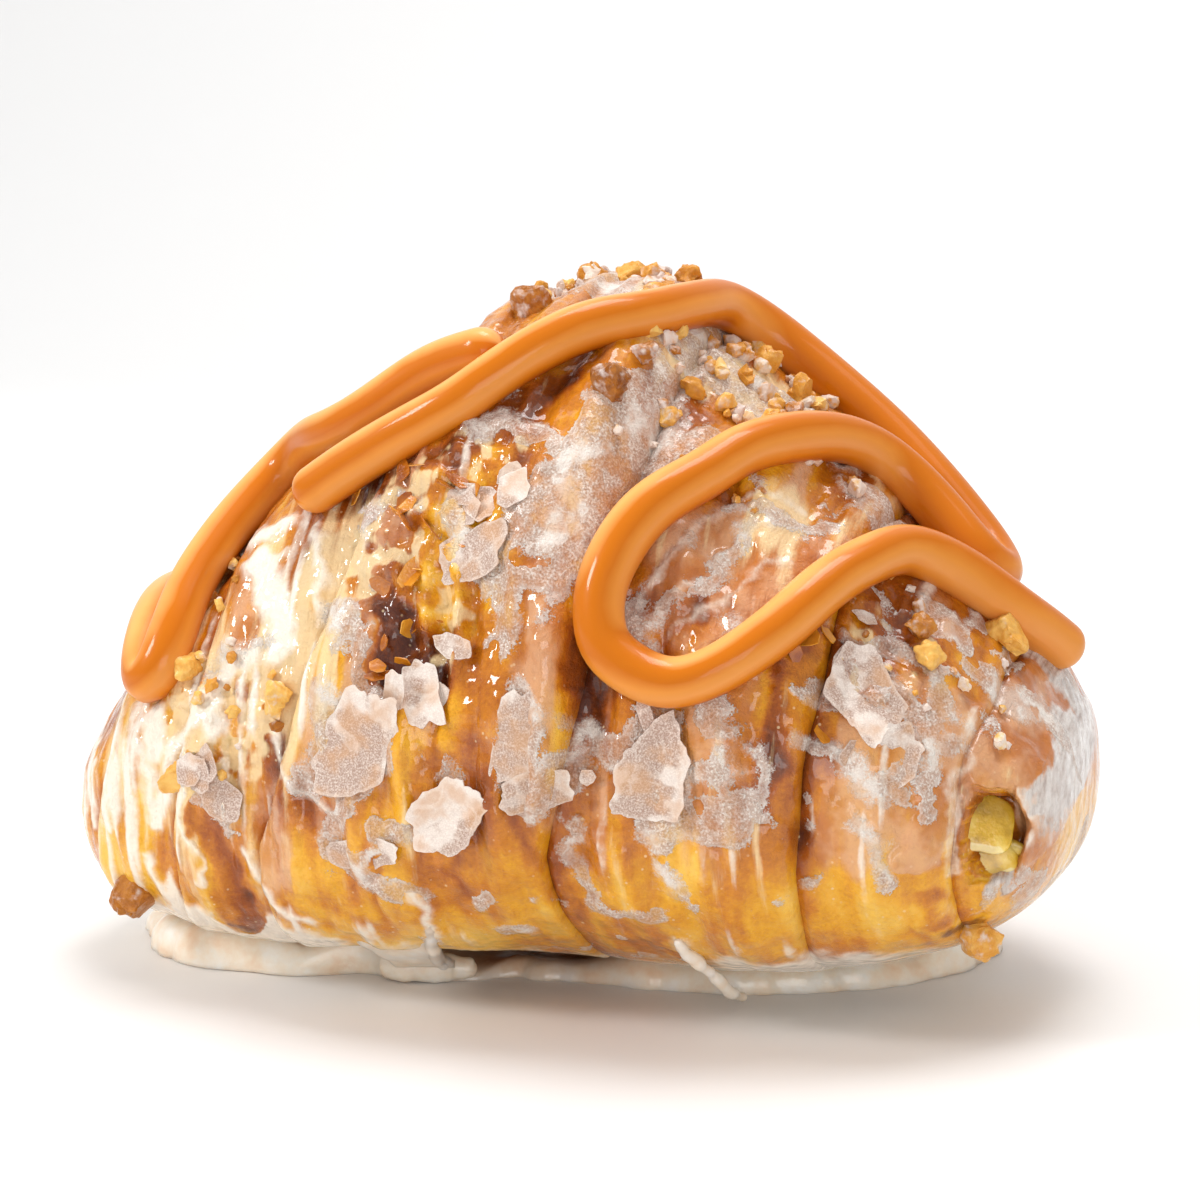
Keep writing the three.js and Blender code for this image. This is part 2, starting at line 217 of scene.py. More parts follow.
# Where the finishes lie. A run is a half width and its stations (x, degrees around); a patch is x, degrees
# around, half length, half width, and the turn of its long way from along the roll towards around it
setGlaze = (   # set white and frosty
    (1.7, ((-20, 26), (-14, 18), (-10, 11), (-11, 5), (-14.5, -4), (-17, -14), (-14, -24), (-8.5, -28))),
    (3.2, ((-17.7, 9), (-17.4, -1))), (1.5, ((-34.3, -4), (-32, -9), (-31.3, -15))),
    (4.4, ((13.5, 57), (11, 43), (8, 35), (6.4, 31))), (2.0, ((5, 30), (3, 24), (2.4, 18))),
    (2.7, ((21.6, 57), (14, 46), (12, 37), (11, 32))), (2.0, ((-4.6, 47), (0, 47), (5.4, 44))),
    (1.8, ((-4.8, 33), (-1.8, 29), (0.2, 26))), (3.4, ((22.3, 9), (21.8, 2), (21.6, -7))),
    (1.7, ((21.6, -7), (22.2, -23))), (1.6, ((12.8, 8), (16, 6), (19, 7))),
    (1.4, ((27.1, 17), (27.6, 13), (29.6, 12))), (1.0, ((29.3, 8), (29.3, 3))),
    (0.8, ((32, 10), (32.4, 4), (33.4, -3))),
    (1.1, ((12.2, -12), (11.1, -22), (12, -31), (15.4, -33), (18.9, -30))),
    (2.4, ((5.9, 11), (6.7, 6), (5.9, 2))), (1.9, ((6.3, -5), (7.7, 0), (12, 4))),
    (1.6, ((38.8, 40), (44.2, 44), (47.7, 41), (50, 33))), (2.0, ((42, 34), (46, 28), (50, 25))),
    (1.2, ((37, 24), (41, 26), (43.6, 20))), (1.6, ((37.2, 13), (41, 11), (44, 5), (45.6, 8))),
    (1.4, ((48.2, 23), (49.7, 14), (49.2, 1))), (0.9, ((47.7, 16), (46.3, 4))),
    (1.5, ((43, -2), (44.8, -9), (45.3, -22))),
    (2.2, ((46.6, 58), (51, 54), (54.5, 51), (58, 60), (60.2, 58))), (4.2, ((-4, 90), (4, 92), (12, 92))),
    (3.0, ((16, 78), (25, 80), (33, 78))), (1.0, ((20, 25), (22.2, 31), (27.6, 46))),
    (1.1, ((24, 47), (30, 52), (35, 60))), (3.2, ((13, 66), (15.5, 76), (17, 84))),
    (2.4, ((17, 74), (22, 74), (27, 80))), (3.0, ((-2, 82), (4, 84), (11, 86))),
)
milkGlaze = (   # wet white glaze that has run and set glossy; the thin line on the mouth's lip is a painted highlight
    (0.9, ((-40, 0), (-38.6, -10), (-36.5, -23), (-36.5, -36), (-37, -48))),
    (0.8, ((-24.4, 43), (-22.3, 34), (-21.4, 25))),
    (1.6, ((-29.5, 23), (-33.6, 20), (-37, 15), (-41.4, 10), (-42.4, 0), (-44.4, -14))),
    (0.9, ((-47.8, 26), (-47.6, 13), (-44.6, 1), (-44, -9))),
    (1.1, ((-45.2, -24), (-42.6, -37), (-40.9, -50))),
    (0.7, ((-26.4, 9), (-24.4, 4), (-20.5, -3), (-16.2, -8))),
    (1.4, ((-37.6, 56), (-32.6, 48), (-29.3, 47))), (1.2, ((-51, 22), (-52, 5), (-51, -12))),
    (1.0, ((-57, 15), (-57.5, 0), (-56, -16))), (2.0, ((-30, 37), (-27, 30), (-26, 22))),
    (1.0, ((-30, -20), (-27, -32), (-22, -38))), (0.9, ((-8.5, -28), (-7.5, -36), (-7.5, -42))),
    (2.0, ((-45, 18), (-44.5, 8))), (1.8, ((-36, 17), (-34, 11))), (2.2, ((-31.5, 42), (-30, 38))),
    # a painted highlight: a thin cream line along the layered edge of the mouth's lip
    (0.45, ((52.5, 24), (51.6, 9), (51.5, -7), (51.9, -22))),
    (0.9, ((58.4, 12), (59.2, 0), (58.8, -12), (57.6, -22))),
    (0.4, ((17.8, 28), (20, 36), (22.6, 44), (26, 52), (31, 59))),
    (0.3, ((21.5, 24), (25, 31), (28, 38), (32, 46))),
    (0.35, ((19.2, 25), (22.5, 33), (25.5, 41), (29.5, 49), (34, 56))),
)
endSheet = (   # thick glaze over the right end
    (61, 60, 26, 2.1, 90), (57.5, 95, 6, 2.6, 60), (0.9, ((59.5, 30), (59.8, 14), (60, 0))),
    (0.7, ((57, -20), (56.4, -34))),
)
curtain = (   # film hanging round the mouth
    (2.6, ((54, 36), (57, 31), (58.9, 20), (59, -4), (59.1, -24))),
    (2.2, ((52.1, 39), (51.6, 22), (50.3, 6), (48.5, -16))),
)
filmPatches = (   # thin wet glaze, tan over the dough
    (8, 18, 16, 4.5, 88), (6, 40, 9, 4, 70), (51, 8, 14, 5, 88), (33, 50, 9, 6, 50), (-26, -18, 12, 6, 75),
    (-14, 8, 12, 6, 70), (26, 8, 14, 3, 86), (44, 20, 9, 5, 60), (-44, 20, 14, 8, 85), (40, -4, 12, 4, 85),
    (26, 42, 9, 5, 50), (8, 22, 9, 2.4, 86),
)
washPatches = (   # cream where the glaze has soaked in
    (16, 74, 10, 7, 40), (-24, 20, 22, 9, 80), (-40, 10, 20, 10, 85), (20, 80, 16, 10, 20),
    (30, 50, 9, 4, 50), (58, 20, 12, 6, 88),
)
burntRuns = (   # the darkest spots, low at both ends
    (0.8, ((-35.2, -43), (-33.6, -45.5))), (0.9, ((51.4, -46), (52.2, -47))),
)
bareRuns = (   # brown dough between the white strokes
    (1.9, ((-35.1, -7), (-34.6, -20), (-33.2, -32), (-33.4, -43))), (1.2, ((-35.6, -32), (-35, -43))),
)
tornPatch = (-8.4, 17.5, 6.0, 3.0, -47)   # dark and wet inside the tear, partly painted shade in its hollow
flakyPatches = (   # rough with loose layers
    (-6, 38, 14, 6, 20), (-8, 24, 8, 8, 90), (-35, 12, 8, 10, 90), (44, 38, 8, 6, 40), (24, 80, 12, 5, 0),
    (0, 150, 30, 14, 0),
)
redGlaze = (   # glaze that has browned
    (2.2, ((4, 56), (-1.4, 49), (-6.6, 43), (-16, 43))), (1.6, ((34, 26), (34, 15), (33.7, 6))),
    (1.1, ((38, 37), (41, 35))), (1.0, ((40, 25), (42.5, 23))), (1.3, ((38.6, 13), (39.6, 9))),
    (1.6, ((50.6, -28), (51, -38))), (0.7, ((11, 28), (10.8, 19), (11.4, 11))),
    (1.5, ((13, 20), (13.6, 12), (15, 8))), (1.5, ((18.6, 27), (21, 35))), (1.2, ((24, 31), (26, 35))),
)
paint = dict(
    stretch=(1, 0.14, 0.14), radii=(18, 45), behind=(-0.25, 0.3), pale=(12, 40),
    warps=((6.0, 1.4), (2.4, 0.9), (1.0, 0.32)), warpShifts=(3.1, 9.4), calm=0.7,
    edgeRun=4.0, thick=0.2, milkThick=0.35, sheetThick=1.3, sheetRough=0.35, curtainThick=0.7,
    ridges=0.55, folds=0.8, crag=0.35, pebble=0.14, flakes=0.8, flakeSteps=3, stepEdge=(0.7, 1.0),
    pleatWidth=0.2, pleats=0.45, pleatWander=0.3, pleatPatches=(-0.3, 0.4),
)
edges = dict(   # mm inside an edge where something starts, and where it is full
    torn=(-1.2, 1.0), bare=(-1.2, 0.8), burnt=(-2.0, 1.0), flaky=(-2.0, 2.5),
    setGlaze=(-0.2, 0.6), sheet=(-0.3, 1.5), curtain=(-0.5, 1.6),
)
stretches = dict(   # scales x, y and z for noise, so that its waves run longer or shorter around the roll
    terraces=(1, 1.5, 1.5), ridges=(1, 0.1, 0.1), folds=(1, 0.16, 0.16), pleats=(1, 0.22, 0.22),
)
setMix = dict(   # set glaze besides its runs: stray patches, small ones and torn holes
    stray=5, strayLevel=0.62, back=0.46, small=3.5, smallLevel=0.72, wetter=0.4,
    holes=3, holeLevels=(0.45, 0.8),
)
milkMix = dict(   # white glaze besides its runs: a fringe at the pool, and strokes down the left end
    fringe=6.5, endFringe=3.5, middleX=2, endFrom=(16, 30), waver=2.2, fringeShare=0.5,
    strokes=2.6, strokeLevel=0.85, pale=0.45,
)
filmMix = dict(
    start=0.36, streaks=0.4, patches=0.3, patchRun=4, patchLimits=(-0.6, 1),
    curtain=0.6, curtainEdge=(-0.6, 1.0), under=0.4, underFrom=(0.15, 0.6),
)
washMix = dict(
    start=0.3, streaks=0.5, patches=0.3, patchRun=5, patchLimits=(-0.8, 1), pale=0.03,
    right=0.14, rightFrom=(26, 44), flaky=0.9, flakyStart=0.26,
)
# how brown the dough is, and painted shade: darker in creases, pleat grooves and fold hollows, paler on fold
# tops
bakeMix = dict(
    start=0.3, crown=0.12, crownFrom=(0.1, 0.9), under=0.12, underFrom=(0.05, 0.6), crease=0.44,
    creaseShadeRun=2.4, pale=0.06, blotches=0.2, streaks=0.15, red=0.34, redEdge=(-1.0, 1.2),
    flaky=0.24, flakyStart=0.05, folds=0.16, foldLimits=(-1, 0.6), pleats=0.2,
)
waves = dict(   # noise on the crust: the size of its waves in mm, its own shift, and its layers if not three
    stray=(10, 12.2), small=(4.2, 17.2), holes=(3.4, 21.3), fringe=(4.5, 41.1), strokes=(1.9, 51.3),
    film=(3.2, 4.4), wash=(2.2, 11.4), bake=(9, 2.2), bakeStreaks=(2.4, 6.1), terraces=(3.4, 24.4, 2),
    flakyBake=(1.8, 27.7, 2), flakyWash=(1.7, 29.9, 2), ridges=(2.6, 8.8), folds=(6.5, 18.8, 2),
    pleats=(4.5, 31.1), pleatWander=(2.2, 33.3), pleatPatches=(8, 36.6), crag=(6, 15.5), pebble=(1.5, 2.9),
    sheet=(1.6, 43.3), lip=(5, 44.4), mouth=(3, 5.5),
)


def insidePatch(patch, x, around, radius):   # mm inside a patch's edge, below zero outside
    acrossX, acrossUp, longHalf, wideHalf, turn = patch
    cos, sin = math.cos(math.radians(turn)), math.sin(math.radians(turn))
    goX = x - acrossX
    goUp = turned(around - math.radians(acrossUp)) * radius
    lengthShare = (goX * cos + goUp * sin) / longHalf
    widthShare = (goUp * cos - goX * sin) / wideHalf
    return (1 - np.sqrt(lengthShare ** 2 + widthShare ** 2)) * wideHalf


def insideRun(run, x, around, radius):
    halfWidth, stations = run
    nearest = np.full(x.shape, np.inf)
    for (fromX, fromUp), (toX, toUp) in zip(stations, stations[1:]):
        runX, runUp = toX - fromX, math.radians(toUp - fromUp) * radius
        goX, goUp = x - fromX, turned(around - math.radians(fromUp)) * radius
        share = np.clip((goX * runX + goUp * runUp) / (runX ** 2 + runUp ** 2), 0, 1)
        nearest = np.minimum(nearest, np.hypot(goX - share * runX, goUp - share * runUp))
    return halfWidth - nearest


def insideAny(shapes, *place):
    depths = [(insideRun if len(shape) == 2 else insidePatch)(shape, *place) for shape in shapes]
    return np.maximum.reduce(depths)


def altered(fields, share, **amounts):   # adds each amount to the field of that name, as far as share goes
    for name, amount in amounts.items():
        fields[name] = fields[name] + amount * share


def glazeFields(x, around, plain, streaked, place, calmPlace):   # depths in mm, and levels from 0 to about 1
    behind = eased(-np.cos(around), *paint["behind"])
    pale = eased(-x, *paint["pale"])   # the left end is paler, and wet rather than set
    wetter = setMix["wetter"] * pale * (1 - behind)
    stray = rough(plain, *waves["stray"]) - setMix["strayLevel"] + setMix["back"] * behind - wetter
    small = rough(plain, *waves["small"]) - setMix["smallLevel"] - wetter
    depth = [insideAny(setGlaze, *place), setMix["stray"] * stray, setMix["small"] * small]
    torn = eased(rough(plain, *waves["holes"]), *setMix["holeLevels"])
    setDepth = np.maximum.reduce(depth) - setMix["holes"] * torn

    fringe = milkMix["endFringe"] * eased(np.abs(x - milkMix["middleX"]), *milkMix["endFrom"])
    fringe = milkMix["fringe"] + fringe - plain[:, 2] + milkMix["waver"] * rough(plain, *waves["fringe"])
    strokes = rough(streaked, *waves["strokes"]) - milkMix["strokeLevel"] + milkMix["pale"] * pale
    depth = [insideAny(milkGlaze, *calmPlace), milkMix["fringeShare"] * fringe, milkMix["strokes"] * strokes]
    milkDepth = np.maximum.reduce(depth)
    curtainDepth = insideAny(curtain, *calmPlace)

    def level(mix, wave, patches):
        inside = np.clip(insideAny(patches, *place) / mix["patchRun"], *mix["patchLimits"])
        return mix["start"] + mix["streaks"] * rough(streaked, *waves[wave]) + mix["patches"] * inside

    film = level(filmMix, "film", filmPatches)
    film += filmMix["curtain"] * eased(curtainDepth, *filmMix["curtainEdge"])
    film -= filmMix["under"] * eased(-np.sin(around), *filmMix["underFrom"])
    wash = level(washMix, "wash", washPatches) + washMix["pale"] * pale
    wash -= washMix["right"] * eased(x, *washMix["rightFrom"]) * (1 - behind)
    return dict(
        setGlaze=setDepth, milk=milkDepth, sheet=insideAny(endSheet, *calmPlace), curtain=curtainDepth,
        film=film, wash=wash, bake=bakeMix["start"] - bakeMix["pale"] * pale,
    )


def bakeCrust(fields, number, x, around, plain, streaked, place):   # how brown the dough is, with painted shade in the creases at the band edges, in the tear and in the hollows
    low, high = edgeX(number - 1, around), edgeX(number, around)
    inner = high - x if number < bands["middle"] else x - low
    if number != bands["middle"]:
        # painted shade: darker near the tucked edge of a band, in its crease
        altered(fields, np.exp(-np.clip(inner, 0, None) / bakeMix["creaseShadeRun"]), bake=bakeMix["crease"])
    up = np.sin(around)
    altered(fields, eased(up, *bakeMix["crownFrom"]), bake=bakeMix["crown"])
    altered(fields, eased(-up, *bakeMix["underFrom"]), bake=-bakeMix["under"])
    altered(fields, rough(plain, *waves["bake"]), bake=bakeMix["blotches"])
    altered(fields, rough(streaked, *waves["bakeStreaks"]), bake=bakeMix["streaks"])
    altered(fields, eased(insideAny(redGlaze, *place), *bakeMix["redEdge"]), bake=bakeMix["red"])
    torn = eased(insidePatch(tornPatch, *place), *edges["torn"])
    # darker inside the tear: browned wet dough, with painted shade in the hollow
    altered(fields, torn, bake=0.62, wash=-0.6, film=-0.8, setGlaze=-4)
    bared = eased(insideAny(bareRuns, *place), *edges["bare"])
    altered(fields, bared, bake=0.34, wash=-0.6, milk=-4)
    fields["char"] = eased(insideAny(burntRuns, *place), *edges["burnt"])


def crustRelief(fields, number, x, around, plain, streaked, place):   # in mm, with the colour it brings
    flaky = eased(insideAny(flakyPatches, *place), *edges["flaky"])
    layers = rough(plain * stretches["terraces"], *waves["terraces"]) * paint["flakeSteps"]
    terraces = (np.floor(layers) + eased(layers % 1, *paint["stepEdge"])) / paint["flakeSteps"]
    for name, mix, wave in (("bake", bakeMix, "flakyBake"), ("wash", washMix, "flakyWash")):
        altered(fields, flaky * (mix["flaky"] * rough(plain, *waves[wave]) + mix["flakyStart"]), **{name: 1})

    relief = bandRelief(number, x, around) + lumpRelief(x, around) + paint["flakes"] * flaky * terraces
    relief += paint["ridges"] * rough(plain * stretches["ridges"], *waves["ridges"])
    folds = rough(plain * stretches["folds"], *waves["folds"])
    relief += paint["folds"] * folds
    # painted light: fold tops paler, fold hollows darker
    altered(fields, np.clip(folds, *bakeMix["foldLimits"]), bake=-bakeMix["folds"])
    pleat = swell(plain * stretches["pleats"], *waves["pleats"])
    pleat = pleat + paint["pleatWander"] * swell(plain, *waves["pleatWander"])
    pleat = np.exp(-(pleat / paint["pleatWidth"]) ** 2)
    pleat = pleat * eased(swell(plain, *waves["pleatPatches"]), *paint["pleatPatches"])
    relief -= paint["pleats"] * pleat
    # painted shade along the pleat grooves
    altered(fields, pleat, bake=bakeMix["pleats"])
    relief += paint["crag"] * rough(plain, *waves["crag"]) + paint["pebble"] * swell(plain, *waves["pebble"])

    relief += paint["thick"] * eased(fields["setGlaze"], *edges["setGlaze"])
    relief += paint["milkThick"] * np.sqrt(np.clip(fields["milk"], 0, 1))
    sheetThick = paint["sheetThick"] + paint["sheetRough"] * rough(streaked, *waves["sheet"])
    relief += sheetThick * eased(fields["sheet"], *edges["sheet"])
    relief += paint["curtainThick"] * eased(fields["curtain"], *edges["curtain"])
    return relief


def mouthRelief(fields, number, x, around, plain, radius):   # layers, hollow and dent at the open end
    relief = np.zeros(x.shape)
    upMouth = turned(around - math.radians(mouth["around"])) * radius
    if number >= len(bands["edges"]) - 1:   # thin layers of dough along the mouth's lip
        lipAcross = (x - mouth["lipX"]) / mouth["lipLength"]
        lip = 1 - eased(np.hypot(lipAcross, upMouth / mouth["lipHeight"]), *mouth["lipEdge"])
        wavy = x + mouth["lipWaver"] * rough(plain, *waves["lip"])
        sheets = lip * np.sin(2 * math.pi * wavy / mouth["sheetGap"])
        relief += mouth["sheetStep"] * sheets
        altered(fields, sheets, wash=0.3)
        altered(fields, lip, wash=0.22, bake=-0.1, film=-0.3, setGlaze=-4)
    if number == len(bands["edges"]):
        across, square = (x - mouth["x"]) / mouth["halfLength"], mouth["squareness"]
        fromMouth = np.abs(across) ** square + np.abs(upMouth / mouth["halfHeight"]) ** square
        fromMouth = fromMouth ** (1 / square) + mouth["ragged"] * rough(plain, *waves["mouth"])
        hollow = 1 - eased(fromMouth, *mouth["hollowEdge"])
        layer = hollow * mouth["layers"]
        step = eased(layer % 1, *mouth["stepEdge"])
        terraced = (np.floor(layer) + step) / mouth["layers"]
        curtained = eased(x - mouth["x"], 0, mouth["curtainRun"])   # no layers on the side of the curtain
        relief -= mouth["depth"] * (terraced + (hollow - terraced) * curtained)
        # painted shade: darker deep in the mouth's hollow
        altered(fields, (1 - curtained) * eased(hollow, 0.2, 1.0), bake=0.3)
        altered(fields, (1 - curtained) * step * (hollow < 0.7), bake=-0.25)
        altered(fields, (1 - curtained) * hollow, film=-0.8)
        altered(fields, hollow, setGlaze=-6, milk=-6, wash=-0.6)
        upDent = turned(around - math.radians(dent["around"])) * radius / dent["height"]
        dented = np.exp(-((x - dent["x"]) / dent["length"]) ** 2 - upDent ** 2)
        relief -= dent["depth"] * dented
        # painted shade in the dent, under its wet film
        altered(fields, dented, bake=0.22, film=0.3, wash=-0.5, sheet=-3)
    return relief


def crustFields(number, x, around):   # relief of a band, and what its finish is made from
    plain = rollPoint(x, around, 0.0)
    streaked = plain * paint["stretch"]   # stretched around the roll
    radius = np.clip(fromAxis(plain), *paint["radii"])
    sway, lean = (
        sum(size * rough(plain, wave, shift, 2) for wave, size in paint["warps"])
        for shift in paint["warpShifts"]
    )
    place, calmPlace = (
        (x + share * sway, around + share * lean / radius, radius) for share in (1, paint["calm"])
    )
    fields = glazeFields(x, around, plain, streaked, place, calmPlace)
    bakeCrust(fields, number, x, around, plain, streaked, place)
    relief = crustRelief(fields, number, x, around, plain, streaked, place)
    relief += mouthRelief(fields, number, x, around, plain, radius)
    del fields["curtain"]
    for name in ("setGlaze", "milk", "sheet"):
        fields[name] = 0.5 + fields[name] / paint["edgeRun"]
    for name in fields:
        fields[name] = np.clip(fields[name], 0, 1.2 if name == "film" else 1)
    return relief, fields


# Small helpers for pieces and materials
def readPoints(piece):
    flat = np.empty(len(piece.data.vertices) * 3)
    piece.data.vertices.foreach_get("co", flat)
    return flat.reshape(-1, 3)


def writePoints(piece, points):
    piece.data.vertices.foreach_set("co", np.asarray(points, float).ravel())
    piece.data.update()


def writeField(piece, name, values):
    made = piece.data.attributes.new(name, "FLOAT", "POINT")
    values = np.broadcast_to(np.asarray(values, np.float32), len(piece.data.vertices))
    made.data.foreach_set("value", np.ascontiguousarray(values))


def onlySelected(piece):
    bpy.ops.object.select_all(action="DESELECT")
    piece.select_set(True)
    bpy.context.view_layer.objects.active = piece


def joined(pieces, name):
    onlySelected(pieces[0])
    for piece in pieces[1:]:
        piece.select_set(True)
    bpy.ops.object.join()
    pieces[0].name = name
    return pieces[0]


def applied(piece, kind, **settings):
    onlySelected(piece)
    modifier = piece.modifiers.new(kind.lower(), kind)
    for name, value in settings.items():
        setattr(modifier, name, value)
    bpy.ops.object.modifier_apply(modifier=modifier.name)
    return piece


def finishPiece(piece, material, node, sharpAngle=None):
    onlySelected(piece)
    bpy.ops.object.transform_apply(location=True, rotation=True, scale=True)
    if sharpAngle:
        bpy.ops.object.shade_smooth_by_angle(angle=math.radians(sharpAngle))
    else:
        bpy.ops.object.shade_smooth()
    piece.data.materials.clear()
    piece.data.materials.append(material)
    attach(piece, "root")
    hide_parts(node)


def newGrid(name, columns, rows):   # a flat grid, with the column and row of each of its points
    bpy.ops.object.select_all(action="DESELECT")
    bpy.ops.mesh.primitive_grid_add(x_subdivisions=columns, y_subdivisions=rows, size=2)
    piece = bpy.context.object
    piece.name = name
    flat = readPoints(piece)
    column, row = (flat[:, 0] + 1) / 2 * columns, (1 - flat[:, 1]) / 2 * rows
    return piece, np.rint(column).astype(int), np.rint(row).astype(int)


def closeSkin(piece, points, fields=()):   # lays a grid over a closed form and welds its seam and poles
    writePoints(piece, inFrame(points))
    for name, values in dict(fields).items():
        writeField(piece, name, values)
    onlySelected(piece)
    bpy.ops.object.mode_set(mode="EDIT")
    bpy.ops.mesh.select_all(action="SELECT")
    bpy.ops.mesh.remove_doubles(threshold=weldGap)
    bpy.ops.object.mode_set(mode="OBJECT")
    return piece


def threaded(stations, steps):   # a smooth line through the stations
    stations = np.asarray(stations, float)
    padded = np.vstack([2 * stations[0] - stations[1], stations, 2 * stations[-1] - stations[-2]])
    share = (np.arange(steps) / steps)[:, None]
    square, cube = share ** 2, share ** 3
    line = []
    for before, here, there, after in zip(padded, padded[1:], padded[2:], padded[3:]):
        leave, arrive = (there - before) / 2, (after - here) / 2
        line.append((2 * cube - 3 * square + 1) * here + (cube - 2 * square + share) * leave
                    + (3 * square - 2 * cube) * there + (cube - square) * arrive)
    return np.vstack(line + [stations[-1:]])


def blurred(values, spread):   # smooths each column
    reach = 3 * spread
    weights = np.exp(-0.5 * (np.arange(-reach, reach + 1) / spread) ** 2)
    padded = np.pad(values, ((reach, reach), (0, 0)), mode="reflect", reflect_type="odd")
    return np.column_stack([np.convolve(column, weights / weights.sum(), "valid") for column in padded.T])


def rope(name, line, out, radius, sides, ridge=2.0, step=0.8, paintedLight=(0, 0, 1)):
    # line and out are in mm, with one radius for each spot; a ridge under 2 gives the back a soft crease
    travelled = np.concatenate([[0], np.cumsum(np.linalg.norm(np.diff(line, axis=0), axis=1))])
    length = travelled[-1]
    capRings = 9
    cap = 1 - np.cos(np.linspace(0, math.pi / 2, capRings))
    first, last = cap * radius[0], length - cap[::-1] * radius[-1]
    count = max(2, math.ceil((last[0] - first[-1]) / step))
    at = np.concatenate([first[:-1], np.linspace(first[-1], last[0], count), last[1:]])
    closing = np.ones(len(at))
    closing[:len(cap)] = np.sqrt(1 - (1 - cap) ** 2)
    closing[-len(cap):] = np.sqrt(1 - (1 - cap[::-1]) ** 2)

    def along(values):
        return np.column_stack([np.interp(at, travelled, values[:, n]) for n in range(values.shape[1])])

    middle = along(line)
    heading = unitised(np.gradient(middle, at, axis=0))
    sideways = unitised(np.cross(heading, along(out)))
    upward = np.cross(sideways, heading)
    thick = np.interp(at, travelled, radius) * closing
    piece, column, row = newGrid(name, sides, len(at) - 1)
    turn = math.pi * (2 * column / sides - 1)
    cos, sin = np.cos(turn), np.sin(turn)
    power = np.where(sin > 0, ridge, 2.0)
    reach = thick[row] * (np.abs(cos) ** power + np.abs(sin) ** power) ** (-1 / power)
    away = sideways[row] * cos[:, None] + upward[row] * sin[:, None]
    # paintedLight is how far each side faces the given light way, for painting its lit and shaded sides
    return closeSkin(piece, middle[row] + away * reach[:, None], dict(paintedLight=away @ np.asarray(paintedLight)))


materials = []   # the node helpers work in the newest of them


def newMaterial(name):
    material = bpy.data.materials.new(name)
    material.use_nodes = True
    materials.append(material)
    return material, material.node_tree.nodes["Principled BSDF"]


def addNode(kind, sockets=None, **settings):
    made = materials[-1].node_tree.nodes.new(kind)
    for name, value in settings.items():
        setattr(made, name, value)
    for name, value in (sockets or {}).items():
        if isinstance(value, bpy.types.NodeSocket):
            connect(value, made, name)
        else:
            made.inputs[name].default_value = value
    return made


def connect(output, node, name):
    materials[-1].node_tree.links.new(output, node.inputs[name])


def objectCoords(stretch=(1, 1, 1)):
    coords = addNode("ShaderNodeTexCoord").outputs["Object"]
    return addNode("ShaderNodeMapping", {"Vector": coords, "Scale": stretch}).outputs[0]


def grain(coords, scale, detail=3.0, roughness=0.55):
    sockets = {"Vector": coords, "Scale": scale, "Detail": detail, "Roughness": roughness}
    return addNode("ShaderNodeTexNoise", sockets).outputs["Fac"]


def specks(coords, scale, size):   # small round dots, 1 inside and 0 outside
    distance = addNode("ShaderNodeTexVoronoi", {"Vector": coords, "Scale": scale}).outputs["Distance"]
    return stepped(distance, size, size * 0.5)


def field(name):
    return addNode("ShaderNodeAttribute", attribute_name=name).outputs["Fac"]


def calc(operation, first, second=0.0, third=0.0):
    return addNode("ShaderNodeMath", {0: first, 1: second, 2: third}, operation=operation).outputs[0]


def summed(start, *terms):   # each term is a value and its share
    for value, share in terms:
        start = calc("MULTIPLY_ADD", value, share, start)
    return start


def stepped(value, low, high, start=0.0, end=1.0):
    sockets = {"Value": value, "From Min": low, "From Max": high, "To Min": start, "To Max": end}
    return addNode("ShaderNodeMapRange", sockets, interpolation_type="SMOOTHSTEP").outputs[0]


def blendColour(share, first, second):
    return addNode("ShaderNodeMix", {0: share, 6: first, 7: second}, data_type="RGBA").outputs[2]


def blendValue(share, first, second):
    return addNode("ShaderNodeMix", {0: share, 2: first, 3: second}).outputs[0]


def ramp(value, *stops):
    made = addNode("ShaderNodeValToRGB", {"Fac": value})
    entries = made.color_ramp.elements
    while len(entries) < len(stops):
        entries.new(0.5)
    for entry, (place, colour) in zip(entries, stops):
        entry.position = place
        entry.color = (*colour, 1)
    return made.outputs["Color"]


def roughen(shader, height, strength, distance, socket="Normal"):
    sockets = {"Height": height, "Strength": strength, "Distance": distance}
    connect(addNode("ShaderNodeBump", sockets).outputs["Normal"], shader, socket)


def setShader(shader, **values):
    for name, value in values.items():
        shader.inputs[name.replace("_", " ")].default_value = value


